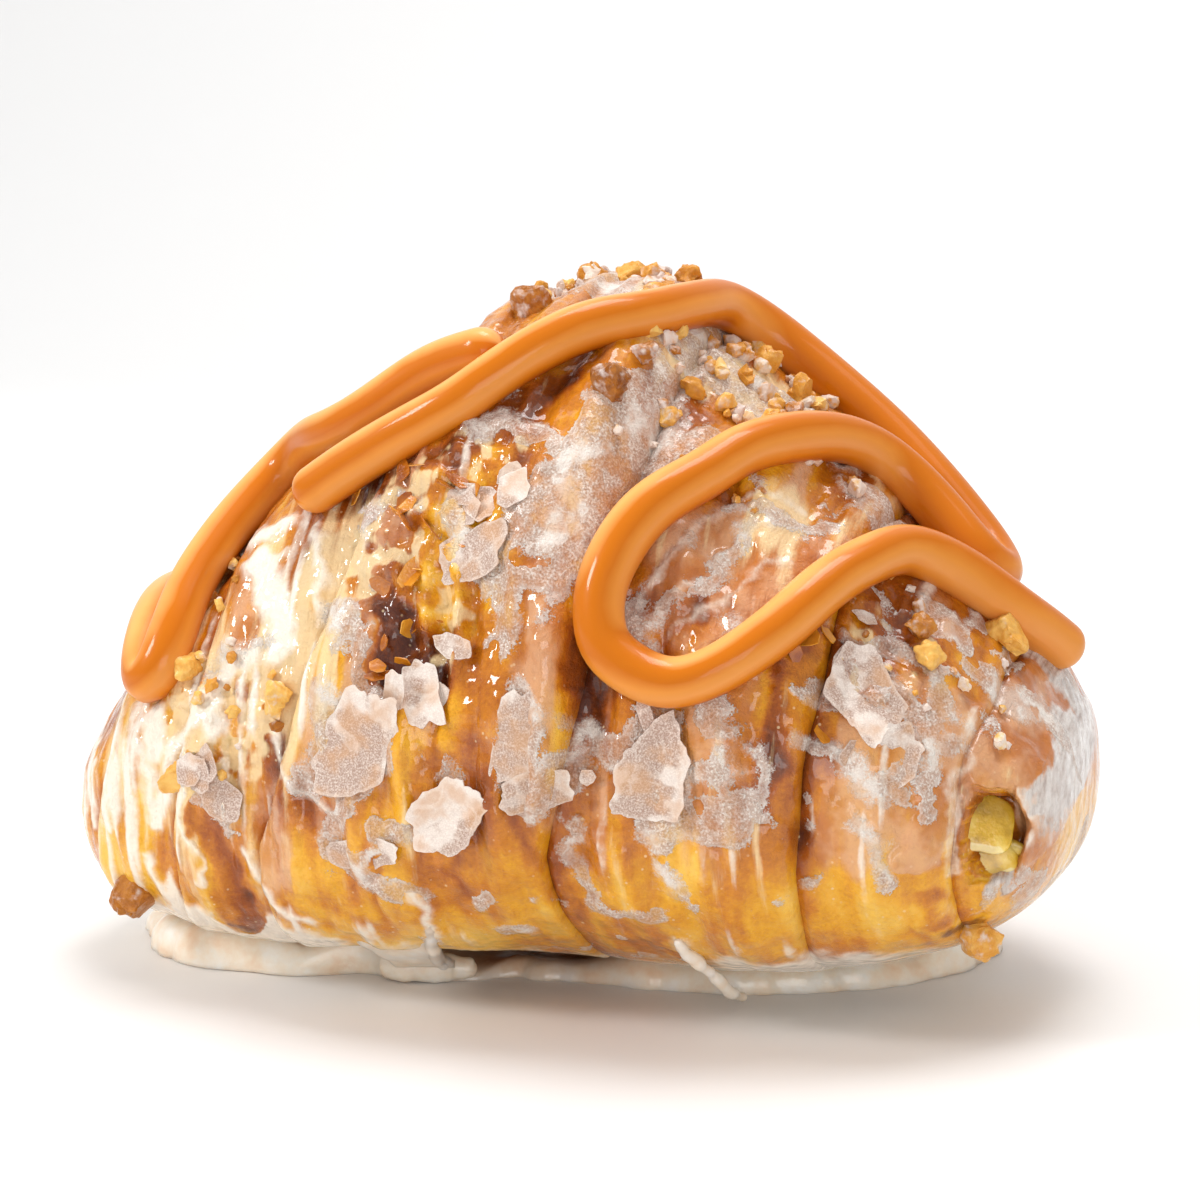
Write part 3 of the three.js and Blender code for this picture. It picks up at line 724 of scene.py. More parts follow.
# Crust: dough, wet film, milky runs, set glaze and burnt spots
def crustMaterial():
    material, shader = newMaterial("baked_crust_glazed")
    coords = objectCoords()
    streaky = objectCoords((1, 0.12, 0.12))
    fine = grain(coords, 3600, 3, 0.6)
    pores = grain(coords, 1700, 5, 0.7)
    middle = grain(coords, 900, 4)
    blotch = grain(coords, 330, 4, 0.6)
    large = grain(coords, 170, 3)
    streak = grain(streaky, 620, 4)
    hair = grain(streaky, 2000, 4, 0.65)

    # the browning field also carries painted shade in creases, grooves and hollows
    bake = summed(calc("SUBTRACT", field("bake"), 0.5), (blotch, 0.4), (streak, 0.26), (pores, 0.34))
    body = ramp(
        bake, (0.0, (0.93, 0.54, 0.07)), (0.2, (0.85, 0.395, 0.012)), (0.42, (0.63, 0.205, 0.005)),
        (0.66, (0.36, 0.08, 0.004)), (1.0, (0.09, 0.016, 0.003)),
    )
    # pale bubble specks that also stand in for tiny glints: partly painted highlights
    specksAndGlints = calc("MULTIPLY", specks(coords, 780, 0.17), stepped(large, 0.45, 0.6, 0.0, 0.55))
    body = blendColour(specksAndGlints, body, (0.93, 0.74, 0.44, 1))
    filmLevel = summed(field("film"), (streak, 0.35), (blotch, 0.25))
    filmColour = blendColour(stepped(large, 0.42, 0.6), (0.56, 0.19, 0.05, 1), (0.74, 0.40, 0.22, 1))
    washLevel = summed(field("wash"), (hair, 0.45), (blotch, 0.3))
    milkLevel = summed(field("milk"), (middle, 0.3))
    sheetLevel = summed(field("sheet"), (middle, 0.3))
    sheetColour = ramp(
        hair, (0.3, (0.30, 0.21, 0.17)), (0.42, (0.52, 0.43, 0.38)), (0.6, (0.76, 0.70, 0.65)),
    )
    for level, low, high, most, colour in (
        (filmLevel, 0.62, 0.86, 0.72, filmColour), (washLevel, 0.76, 1.1, 0.75, (0.98, 0.76, 0.42, 1)),
        (milkLevel, 0.55, 0.92, 0.9, (0.98, 0.90, 0.78, 1)), (sheetLevel, 0.58, 0.76, 0.95, sheetColour),
    ):
        body = blendColour(stepped(level, low, high, 0.0, most), body, colour)

    setLevel = summed(field("setGlaze"), (middle, 0.22), (fine, 0.42))
    setShare = stepped(setLevel, 0.78, stepped(large, 0.42, 0.62, 0.86, 1.12))   # its edge is soft in places
    setColour = ramp(
        fine, (0.32, (0.50, 0.32, 0.235)), (0.5, (0.68, 0.51, 0.42)), (0.64, (0.96, 0.89, 0.82)),
    )
    setColour = blendColour(stepped(large, 0.5, 0.6, 0.0, 0.8), setColour, (0.97, 0.91, 0.84, 1))
    setCover = calc("MULTIPLY", setShare, stepped(blotch, 0.38, 0.6, 0.4, 0.94))   # and it is thin in places
    body = blendColour(setCover, body, setColour)
    rim = calc("SUBTRACT", setShare, stepped(setLevel, 0.84, 0.98))   # crisp edges are whiter
    body = blendColour(calc("MULTIPLY", rim, 0.5), body, (0.97, 0.92, 0.86, 1))
    charLevel = summed(field("char"), (middle, 1.3))
    body = blendColour(stepped(charLevel, 0.95, 1.75, 0.0, 0.85), body, (0.13, 0.036, 0.014, 1))
    connect(body, shader, "Base Color")

    connect(blendValue(setCover, stepped(filmLevel, 0.5, 0.9, 0.36, 0.2), 0.6), shader, "Roughness")
    connect(calc("MULTIPLY_ADD", setCover, -0.7, 0.85), shader, "Coat Weight")
    frosty = calc("MULTIPLY", calc("SUBTRACT", fine, 0.5), setShare)
    height = calc("MULTIPLY", streak, 0.5)
    height = summed(height, (blotch, 0.9), (pores, 0.35), (setShare, 0.1), (frosty, 0.5))
    roughen(shader, height, 1.0, 0.0008)
    roughen(shader, grain(coords, 420, 1.0, 0.4), 1.0, 0.0005, "Coat Normal")
    setShader(shader, Specular_IOR_Level=0.12, Coat_Roughness=0.08)
    return material


def makeBand(number, material):
    last = len(bands["edges"])
    circle = np.linspace(-math.pi, math.pi, bands["widthSteps"])
    rows = math.ceil((edgeX(number, circle) - edgeX(number - 1, circle)).max() / bands["rowLength"])
    if number in (0, last):
        rows += bands["endRows"]
    capLow = 0 if number == 0 else bands["capRows"]
    capHigh = 0 if number == last else bands["capRows"]
    band, column, row = newGrid(f"crust_band_{number + 1}", bands["around"], rows + capLow + capHigh)
    even = math.pi * (2 * column / bands["around"] - 1)
    crowded = even - bands["crowding"] * np.sin(even)   # points crowd towards the front
    turn = turned(crowded + bands["crowdAt"])
    share = np.clip((row - capLow) / rows, 0, 1)
    edgeLow, edgeHigh = edgeX(number - 1, turn), edgeX(number, turn)
    lowX = edgeLow - (bands["tuck"] if number > bands["middle"] else 0)
    highX = edgeHigh + (bands["tuck"] if number < bands["middle"] else 0)
    x = lowX + (highX - lowX) * share
    half = (rightHalf["tip"] - leftHalf["tip"]) / 2
    centre = (rightHalf["tip"] + leftHalf["tip"]) / 2
    power = roll["endRoundness"]

    def blunt(innerX, fromTip):   # rows spread evenly over a blunt end, as a share of the half length
        full = np.arccos(np.clip(np.abs((innerX - centre) / half), 0, 1) ** (power / 2))
        return np.cos(full * fromTip ** bands["tipCrowding"]) ** (2 / power)

    if number == 0:
        x = centre - half * blunt(highX, share)
    if number == last:
        x = centre + half * blunt(lowX, 1 - share)
    relief, fields = crustFields(number, x, turn)
    relief -= bands["dive"] * eased(np.maximum(edgeLow - x, x - edgeHigh), *bands["diveOver"])
    if capLow:
        relief -= bands["dive"] * (row <= capLow)
    if capHigh:
        relief -= bands["dive"] * (row >= capLow + rows)
    points = rollPoint(x, turn, relief)
    for isCap, rimRow in ((row < capLow, capLow), (row > capLow + rows, capLow + rows)):
        if isCap.any():
            centroid = points[row == rimRow].mean(axis=0)
            closing = 1 - np.abs(row[isCap] - rimRow) / bands["capRows"]
            points[isCap] = centroid + (points[isCap] - centroid) * closing[:, None]
    finishPiece(closeSkin(band, points, fields), material, "croissant")


crustFinish = crustMaterial()
for number in range(len(bands["edges"]) + 1):
    makeBand(number, crustFinish)
print("crust bands made")


# Piped caramel, as in the solids: x along the roll and degrees around it
caramel = dict(
    radius=2.9, lift=2.1, bedReach=5, steps=9, sides=32, ridge=1.85, blur=9, lineBlur=3,
    ruffle=0.04, ruffleRuns=(9.3, 17.1),
    # the light way that the caramel's painted light and shade are worked out from
    paintedLight=(-0.47, -0.17, 0.87),
)
caramelStrands = (
    ((-3, 59), (-7.5, 60), (-13, 61.5), (-18.5, 61), (-23, 62), (-27.5, 66), (-32.5, 75), (-37, 74),
     (-40, 62), (-41.5, 48), (-41.5, 36), (-42.5, 27), (-44.5, 27), (-46, 36), (-47.5, 50), (-49.5, 68),
     (-51, 88), (-49, 104), (-42, 109), (-34, 108), (-27, 111), (-20, 121), (-12, 134), (-3, 141),
     (5, 133), (8, 116)),
    ((-26, 47), (-19, 48), (-12.5, 48.5), (-6.6, 50), (-2, 54.5), (2.6, 60), (6.5, 65), (10.5, 71),
     (13.3, 82), (14.3, 92), (18, 98), (23, 100), (28, 100), (33, 100), (38, 99), (43, 97.5), (47, 95),
     (49, 89), (46.5, 84.5), (41.5, 87), (36.5, 86), (33, 80.5), (30, 72.5), (27, 64.5), (24, 57),
     (21.5, 49), (17.6, 41), (15.3, 34), (14, 28), (14, 23.5), (15.2, 19.5), (19, 17.4), (22.8, 17.4),
     (26.6, 20.4), (30, 25.5), (33.3, 33), (36, 43), (39, 54), (41.6, 64), (45, 70), (48.2, 74.5),
     (52, 80), (55, 90), (57, 99.5)),
)


def caramelMaterial():
    material, shader = newMaterial("piped_caramel")
    coords = objectCoords()
    # painted light: painted shade on the side away from the light, amber where lit, a painted cream
    # highlight on the lit edge
    paintedLight = summed(calc("MULTIPLY_ADD", field("paintedLight"), 0.5, 0.45), (grain(coords, 160, 2), 0.1))
    connect(ramp(
        paintedLight, (0.0, (0.44, 0.085, 0.001)), (0.12, (0.68, 0.20, 0.008)), (0.28, (0.77, 0.295, 0.06)),
        (0.44, (0.73, 0.26, 0.035)), (0.6, (0.57, 0.145, 0.001)), (0.82, (0.60, 0.155, 0.001)),
        (0.97, (0.86, 0.42, 0.12)),
    ), shader, "Base Color")
    roughen(shader, grain(coords, 300, 2), 0.12, 0.0004)
    setShader(shader, Roughness=0.4, Specular_IOR_Level=0.1, Subsurface_Weight=0.05, Subsurface_Scale=0.0015,
              Subsurface_Radius=(1.0, 0.42, 0.12), Coat_Weight=0.35, Coat_Roughness=0.09)
    return material


def makeCaramel(material):
    for count, strand in enumerate(caramelStrands):
        way = threaded(strand, caramel["steps"])
        x, around = way[:, 0], np.radians(way[:, 1])
        bed = blurred(evenBed(x, around, caramel["bedReach"])[:, None], caramel["blur"])[:, 0]
        spot, out, _ = crustFrame(x, around, bed)
        line = blurred(spot + out * caramel["lift"], caramel["lineBlur"])
        out = blurred(out, caramel["blur"])
        first, second = (np.arange(len(line)) / run for run in caramel["ruffleRuns"])
        uneven = 1 + caramel["ruffle"] * np.sin(first + count) * np.sin(second)
        piece = rope(f"caramel_strand_{count + 1}", line, out, caramel["radius"] * uneven, caramel["sides"],
                     caramel["ridge"], paintedLight=caramel["paintedLight"])
        finishPiece(piece, material, "croissant")


makeCaramel(caramelMaterial())
print("caramel piped")


# Walnut pieces that read singly, the scattered ones of the solids, and fine crumbs between them
walnutPieces = (   # x, degrees around, half size, tone from dark to golden, how much glaze is on it
    (-5.9, 79, 3.6, 0.2, 0.3), (-2, 94, 2.1, 0.4, 0.15), (2.5, 96, 2, 0.5, 0.1), (6, 92, 1.9, 0.45, 0.3),
    (10, 95, 1.7, 0.35, 0.2), (13, 101, 2, 0.5, 0.1), (12.5, 64, 2, 0.15, 0.4), (10.5, 55, 2, 0.1, 0.3),
    (18.5, 84, 1.5, 0.4, 0.3), (21, 90, 1.6, 0.5, 0.2), (25.5, 87, 1.8, 0.45, 0.2),
    (16, 59, 1.8, 0.55, 0.3), (25.5, 70, 1.6, 0.5, 0.3), (47.5, 43, 1.9, 0.6, 0.0),
    (46, 50, 1.7, 0.25, 0.3), (53, 72, 2.1, 0.55, 0.2), (-41, 46, 2, 0.1, 0.1), (-40, 58, 1.6, 0.15, 0.2),
    (-40, 26, 2.1, 0.6, 0.0), (-25.5, 13, 1.8, 0.65, 0.3), (-39.5, 1, 1.7, 0.6, 0.0),
    (-48.6, -38, 2.6, 0.2, 0.25), (52.5, -52, 2.4, 0.5, 0.3),
)
scatter = dict(
    count=16, x=(-30, 42), around=(96, 168), crowding=1.6, size=(1.3, 2.1),
    start=7, factor=16807, prime=2147483647,
)
fineCrumbs = (   # how many, x from and to, degrees from and to, half size from and to
    (90, 8, 36, 66, 100, 0.6, 1.7), (36, -8, 14, 82, 100, 0.6, 1.5), (22, -42, -24, 0, 60, 0.5, 1.1),
    (18, 38, 56, 30, 80, 0.5, 1.2), (40, -45, 50, 100, 175, 0.6, 1.5), (14, 8, 30, 48, 66, 0.5, 1.1),
)
crumbShape = dict(
    lift=0.3, lumpSize=3, lumpLift=-0.8, kinds=6, facets=4, breaks=(0.5, 0.8), stretch=(0.75, 1.2), bite=0.3,
    skin=0.62, shifts=(0, 30), scatterTones=(0.1, 0.6), fineTones=(0.2, 0.7), coats=(0.1, 0.6),
    sharpAngle=40,
)


def walnutMaterial():
    material, shader = newMaterial("walnut_crumb")
    coords = objectCoords()
    tone = summed(field("tone"), (grain(coords, 900, 4), 0.5))
    nut = ramp(
        tone, (0.2, (0.15, 0.035, 0.006)), (0.45, (0.44, 0.15, 0.015)), (0.7, (0.72, 0.31, 0.035)),
        (0.95, (0.88, 0.54, 0.14)),
    )
    coat = summed(field("coat"), (grain(coords, 700, 3), 0.9))
    coatShare = stepped(coat, 0.74, 0.98, 0.0, 0.8)
    connect(blendColour(coatShare, nut, (0.82, 0.74, 0.70, 1)), shader, "Base Color")
    connect(stepped(coat, 0.8, 0.95, 0.3, 0.55), shader, "Roughness")
    roughen(shader, grain(coords, 2200, 4), 0.6, 0.0004)
    setShader(shader, Specular_IOR_Level=0.25, Coat_Weight=0.2, Coat_Roughness=0.12)
    return material


def crumbKind(subdivisions):   # a broken lump: a ball with a few flat breaks and a rough skin
    bpy.ops.object.select_all(action="DESELECT")
    bpy.ops.mesh.primitive_ico_sphere_add(subdivisions=subdivisions, radius=1)
    kind = bpy.context.object
    bpy.ops.object.mode_set(mode="EDIT")
    for _ in range(crumbShape["facets"]):
        way = unitised(dice.normal(size=3))
        spot = way * dice.uniform(*crumbShape["breaks"])
        bpy.ops.mesh.select_all(action="SELECT")
        bpy.ops.mesh.bisect(plane_co=spot, plane_no=way, use_fill=True, clear_outer=True)
    bpy.ops.mesh.select_all(action="SELECT")
    bpy.ops.mesh.quads_convert_to_tris()
    bpy.ops.mesh.subdivide(number_cuts=1)
    bpy.ops.object.mode_set(mode="OBJECT")
    points = readPoints(kind) * dice.uniform(*crumbShape["stretch"], 3)
    skin = rough(points, crumbShape["skin"], dice.uniform(*crumbShape["shifts"]))
    writePoints(kind, points * (1 + crumbShape["bite"] * skin)[:, None])
    return kind


def placedCopy(kind, points):
    copy = kind.copy()
    copy.data = kind.data.copy()
    bpy.context.collection.objects.link(copy)
    writePoints(copy, inFrame(points))
    return copy


def randomTurn():
    axes, _ = np.linalg.qr(dice.normal(size=(3, 3)))
    return axes if np.linalg.det(axes) > 0 else -axes


def solidsScatter():   # the same even draw as in the solids
    state = scatter["start"]
    spots = []

    def draw():
        nonlocal state
        state = state * scatter["factor"] % scatter["prime"]
        return (state - 1) / (scatter["prime"] - 1)

    for count in range(scatter["count"]):
        fromX, toX = scatter["x"]
        low, high = scatter["around"]
        least, most = scatter["size"]
        spots.append((fromX + (toX - fromX) * (count + draw()) / scatter["count"],
                      low + (high - low) * draw() ** scatter["crowding"], least + (most - least) * draw()))
    return spots


def makeCrumbs(material):
    big = [crumbKind(3) for _ in range(crumbShape["kinds"])]
    small = [crumbKind(1) for _ in range(crumbShape["kinds"])]

    def finished(spot, tones):
        return *spot, dice.uniform(*crumbShape[tones]), dice.uniform(*crumbShape["coats"])

    spots = [(spot, big) for spot in walnutPieces]
    spots += [(finished(spot, "scatterTones"), big) for spot in solidsScatter()]
    for count, fromX, toX, low, high, least, most in fineCrumbs:
        for _ in range(count):
            size = least + (most - least) * dice.random() ** 2
            spot = (dice.uniform(fromX, toX), dice.uniform(low, high), size)
            spots.append((finished(spot, "fineTones"), small))
    crumbs = []
    for (x, around, size, tone, coat), kinds in spots:
        spot, out, _ = crustFrame(x, math.radians(around))
        kind = kinds[dice.integers(len(kinds))]
        lift = crumbShape["lumpLift" if size > crumbShape["lumpSize"] else "lift"]
        points = readPoints(kind) @ randomTurn().T * size + spot + out * size * lift
        crumb = placedCopy(kind, points)
        writeField(crumb, "tone", tone)
        writeField(crumb, "coat", coat)
        crumbs.append(crumb)
    for kind in big + small:
        bpy.data.objects.remove(kind)
    finishPiece(joined(crumbs, "walnut_crumbs"), material, "croissant", crumbShape["sharpAngle"])


makeCrumbs(walnutMaterial())
print("walnut crumbs set")


# Chips of set glaze that stand proud, and amber shards of crust round the tear and the lips
proudFlakes = (   # x, degrees around, half length, half width, turn
    (-2, -7.5, 7, 4.6, 72), (-6, 11, 4, 2.6, 120), (-1, 29, 5, 2.8, 30), (10, 150, 6.5, 4, 60),
    (-12, 176, 6.5, 4, 80),
)
sunkFlakes = (   # these lie in the crust, and only their higher parts show
    (-14, 4, 7, 4.5, 50), (6, 7, 5, 3.4, 80), (8, -1, 4, 3, 20), (21, 3, 7, 4.4, 80),
    (42, 27, 6.5, 4, 100), (46, 15, 6, 3, 80), (-33, -6, 4.5, 2.4, 110), (-13, -17, 5, 3.6, 10),
    (24, 165, 6, 3.8, 120), (-30, 165, 5, 3.4, 40), (40, 150, 5.5, 3.2, 90),
)
smallFlakes = (   # how many, x from and to, degrees from and to, half size from and to
    (3, -12, 2, 4, 30, 1.6, 3.0), (2, 12, 34, -4, 14, 1.4, 2.4), (3, 38, 50, 8, 46, 1.4, 2.6),
    (3, -40, -30, -12, 10, 1.2, 2.4), (5, -6, 9, 34, 47, 1.6, 3.0), (22, -45, 50, 110, 185, 1.2, 2.8),
)
amberShards = (   # numbers as for the small flakes
    (12, -13, -1, 20, 38, 1.0, 2.6), (7, -12, -4, 13, 22, 0.9, 2.0), (5, -22, -4, 37, 46, 0.9, 2.0),
    (6, 34, 40, 16, 44, 0.8, 1.6), (16, -30, 40, 120, 170, 1.0, 2.4),
)
chipShape = dict(
    cells=24, thickness=0.14, lift=0.36, sunkLift=0.1, smallLift=0.35, smallTilt=0.12, smallCorners=(7, 12),
    bedReach=2.5, cornerShift=0.55, radii=(0.8, 1.18), widths=(0.5, 0.9), jag=0.13, jagSize=2.4,
    shifts=(0, 30),
    fold=0.08, bigFold=0.22, bigHalf=5.5, foldAt=(-1, 1), crumple=0.12, crease=2.6, crumpleHalf=5,
    slope=0.05, rim=(0.75, 1.0), paintedRidgeHighlight=0.16, paintedLitFacet=(-0.2, 0.3), tones=(0.0, 0.45), sharpAngle=35,
    shardCells=8, shardCorners=(5, 8), shardLift=0.15, shardTilt=0.7,
)


def chipMaterial():
    material, shader = newMaterial("glaze_chip")
    coords = objectCoords()
    fine = grain(coords, 5200, 3, 0.6)
    colour = ramp(fine, (0.34, (0.38, 0.24, 0.18)), (0.5, (0.50, 0.35, 0.28)), (0.64, (0.74, 0.62, 0.54)))
    whiter = stepped(grain(coords, 150, 3), 0.52, 0.6, 0.0, 0.6)
    # painted highlight: the half of a folded chip that faces the key light on the left is whiter
    whiter = calc("MAXIMUM", whiter, calc("MULTIPLY", field("paintedLitFacet"), 0.65))
    sheer = stepped(grain(coords, 260, 3), 0.42, 0.66, 0.0, 0.6)   # the dough shows through
    # the rim field: pale outline edges, with painted highlights on the crumple ridges
    rim = stepped(field("rim"), 0.5, 1.0, 0.0, 0.28)
    white = (0.94, 0.86, 0.78, 1)
    for share, over in ((whiter, white), (sheer, (0.62, 0.32, 0.14, 1)), (rim, white)):
        colour = blendColour(share, colour, over)
    connect(colour, shader, "Base Color")
    roughen(shader, fine, 0.4, 0.0003)
    setShader(shader, Roughness=0.5)
    return material


def shardMaterial():
    material, shader = newMaterial("amber_crust_shard")
    coords = objectCoords()
    tone = summed(field("tone"), (grain(coords, 700, 4), 0.5), (field("rim"), 0.06))
    connect(ramp(
        tone, (0.2, (0.24, 0.045, 0.004)), (0.5, (0.58, 0.18, 0.006)), (0.8, (0.80, 0.37, 0.035)),
        (1.0, (0.92, 0.66, 0.28)),
    ), shader, "Base Color")
    roughen(shader, grain(coords, 1800, 4), 0.4, 0.0003)
    setShader(shader, Roughness=0.2, Coat_Weight=0.5, Coat_Roughness=0.06)
    return material


def polygonReach(bearing, corners, radii):   # how far a straight-sided outline goes at each bearing
    after = np.searchsorted(corners, bearing) % len(corners)
    before = after - 1
    toBefore = (bearing - corners[before]) % (2 * math.pi)
    toAfter = (corners[after] - bearing) % (2 * math.pi)
    across = radii[before] * np.sin(toBefore) + radii[after] * np.sin(toAfter)
    return radii[before] * radii[after] * np.sin(toBefore + toAfter) / across


def alongWay(goLong, goWide, angle):   # how far each spot lies along a way across the chip
    return goLong * math.cos(angle) + goWide * math.sin(angle)


def chip(kind, x, around, longHalf, wideHalf, turn, lift, tilt=0.0, cornerRange=chipShape["smallCorners"]):
    square = readPoints(kind)[:, :2]
    reach = np.abs(square).max(axis=1)
    bearing = np.arctan2(square[:, 1], square[:, 0])
    count = dice.integers(*cornerRange)
    shifts = dice.uniform(0, chipShape["cornerShift"], count) * 2 * math.pi / count
    corners = np.linspace(-math.pi, math.pi, count, endpoint=False) + shifts
    outline = polygonReach(bearing, corners, dice.uniform(*chipShape["radii"], count))
    jagged = np.column_stack([np.cos(bearing), np.sin(bearing), 0 * bearing]) * longHalf
    jagged = rough(jagged, chipShape["jagSize"], dice.uniform(*chipShape["shifts"]))
    outline = reach * outline * (1 + chipShape["jag"] * jagged)
    goLong, goWide = outline * np.cos(bearing) * longHalf, outline * np.sin(bearing) * wideHalf
    crack = dice.uniform(0, math.pi)
    beyondFold = alongWay(goLong, goWide, crack) - dice.uniform(*chipShape["foldAt"])
    flat = np.column_stack([goLong, goWide, 0 * goLong])
    crumple = np.abs(swell(flat, chipShape["crease"], dice.uniform(*chipShape["shifts"])))
    crumple = crumple * min(1, longHalf / chipShape["crumpleHalf"])
    slope = alongWay(goLong, goWide, dice.uniform(0, 2 * math.pi))   # one side dips into the crust
    foldRise = chipShape["bigFold" if longHalf > chipShape["bigHalf"] else "fold"]
    height = lift + foldRise * np.abs(beyondFold) - chipShape["crumple"] * crumple
    height = height + chipShape["slope"] * slope
    cos, sin = math.cos(math.radians(turn)), math.sin(math.radians(turn))
    goX, goUp = goLong * cos - goWide * sin, goLong * sin + goWide * cos
    up = math.radians(around)
    spot, out, side = crustFrame(x, up)
    if tilt:
        out = unitised(out + dice.normal(size=3) * tilt)
        side = unitised(np.cross(np.cross(out, side), out))
        points = spot + np.outer(goX, side) + np.outer(goUp, np.cross(out, side)) + np.outer(height, out)
    else:
        place = (x + goX, up + goUp / fromAxis(spot))
        points, out, _ = crustFrame(*place, evenBed(*place, chipShape["bedReach"]))
        points = points + out * height[:, None]
    piece = placedCopy(kind, points)
    # pale along the outline, and a painted highlight along the raised crumple ridges
    rim = np.maximum(eased(reach, *chipShape["rim"]), 1 - eased(crumple, 0.0, chipShape["paintedRidgeHighlight"]))
    writeField(piece, "rim", rim)
    writeField(piece, "tone", dice.uniform(*chipShape["tones"]))
    # the folded half facing left, towards the key light, is painted whiter
    leftward = -np.sign(math.cos(crack + math.radians(turn)))
    isFolded = longHalf > chipShape["bigHalf"] and lift > chipShape["sunkLift"]
    writeField(piece, "paintedLitFacet", eased(beyondFold * leftward, *chipShape["paintedLitFacet"]) * isFolded)
    return piece


def strewn(kind, groups, sort):
    lift, tilt, cornerRange = (chipShape[sort + part] for part in ("Lift", "Tilt", "Corners"))
    chips = []
    for count, fromX, toX, low, high, least, most in groups:
        for _ in range(count):
            size = dice.uniform(least, most)
            place = (dice.uniform(fromX, toX), dice.uniform(low, high))
            width = size * dice.uniform(*chipShape["widths"])
            chips.append(chip(kind, *place, size, width, dice.uniform(0, 180), lift, tilt, cornerRange))
    return chips


def makeFlakes(chipFinish, shardFinish):
    fineGrid, _, _ = newGrid("chip_grid", chipShape["cells"], chipShape["cells"])
    coarseGrid, _, _ = newGrid("shard_grid", chipShape["shardCells"], chipShape["shardCells"])
    flakes = [chip(fineGrid, *flake, chipShape["lift"]) for flake in proudFlakes]
    flakes += [chip(fineGrid, *flake, chipShape["sunkLift"]) for flake in sunkFlakes]
    flakes += strewn(fineGrid, smallFlakes, "small")
    shards = strewn(coarseGrid, amberShards, "shard")
    for kind in (fineGrid, coarseGrid):
        bpy.data.objects.remove(kind)
    for pieces, name, finish, slotName in ((flakes, "glaze_chips", chipFinish, "glaze"),
                                           (shards, "crust_shards", shardFinish, "crust")):
        piece = joined(pieces, name)
        applied(piece, "SOLIDIFY", thickness=chipShape["thickness"] * mm, offset=0)
        finishPiece(piece, finish, "croissant", chipShape["sharpAngle"])


makeFlakes(chipMaterial(), shardMaterial())
print("glaze chips and crust shards set")


# Pool of glaze under the roll, with its rolled lip, a drip, a string and a web
pool = dict(
    thickness=4.4, edge=4.8, edgePower=0.8, topEnd=0.45, edgeEnd=0.8, around=420, rows=64, steps=12,
    waver=1.5, waverSize=(7, 3.3), waverLevel=0.5, lumps=0.4, lumpSize=(8, 6.1, 2),
    syrupShadeX=-3, syrupShadeLength=12, syrupShadeEdge=5, dip=0.5, rimCover=0.7, coverEnd=0.7,   # a low stretch painted dark: brown syrup darkened with painted shade under the roll
    webCells=24, webWaist=0.18, webSag=0.8, webThickness=0.9, webRough=0.5, webSize=(3.0, 57.7),
    runSteps=8, runSides=20, runStep=0.5, runOut=(0.2, -0.6, 0.8), ruffle=0.1, ruffleRun=0.45, ragged=0.2,
    raggedSize=(1.4, 71.1), wander=0.3, wanderSize=2.2, wanderShifts=(73.3, 75.5, 77.7),
)
poolOutline = (
    (-58, -6), (-54, -19), (-43, -24.5), (-31, -24.5), (-25, -21), (-19.5, -21.5), (-10.5, -19.5), (-6, -17),
    (5.5, -16.5), (17.5, -15.5), (28.5, -12), (38.5, -4.5), (46, 6), (48, 16), (42, 23), (28, 26), (8, 27),
    (-14, 26), (-36, 23), (-52, 12),
)
glazeWeb = (   # its four corners
    (-19, -33.4, 9.2), (-7.2, -36, 11.8), (-17.4, -22.6, 2.6), (-10.6, -21.4, 2.8),
)
glazeRuns = (   # stations in mm with a radius each: the rolled lip, a hanging drip and a string
    ((-20.5, -20.5, 1.9, 1.6), (-17.5, -21.3, 1.9, 2.0), (-13, -20, 1.8, 1.7), (-9, -18.4, 1.5, 1.2)),
    ((-7.6, -35.8, 11.6, 0.6), (-9.2, -31.6, 8.2, 0.9), (-10.8, -26.6, 5.2, 0.8),
     (-11.6, -22.4, 3.0, 0.8)),
    ((21.4, -33.4, 12, 0.4), (22, -31, 9.6, 0.8), (22.6, -28, 7.6, 0.6), (23.2, -24.6, 5.0, 0.7),
     (23.8, -20, 2.4, 0.6), (24.3, -17, 0.8, 0.5)),
)


def poolMaterial():
    material, shader = newMaterial("milky_set_glaze")
    coords = objectCoords()
    cloud = grain(coords, 260, 4)
    colour = ramp(cloud, (0.3, (0.86, 0.60, 0.41)), (0.5, (0.92, 0.76, 0.60)), (0.7, (0.96, 0.88, 0.79)))
    # dark brown under the roll: brownish glaze with painted shade where the roll shades it
    syrupAndPaintedShade = calc("MULTIPLY", field("syrupAndPaintedShade"), stepped(grain(coords, 500, 3), 0.3, 0.6, 0.92, 1))
    connect(blendColour(syrupAndPaintedShade, colour, (0.17, 0.052, 0.010, 1)), shader, "Base Color")
    roughen(shader, grain(coords, 900, 4), 0.35, 0.0003)
    setShader(shader, Roughness=0.28, Subsurface_Weight=0.5, Subsurface_Radius=(1.0, 0.85, 0.7),
              Subsurface_Scale=0.004, Coat_Weight=0.3, Coat_Roughness=0.12)
    return material


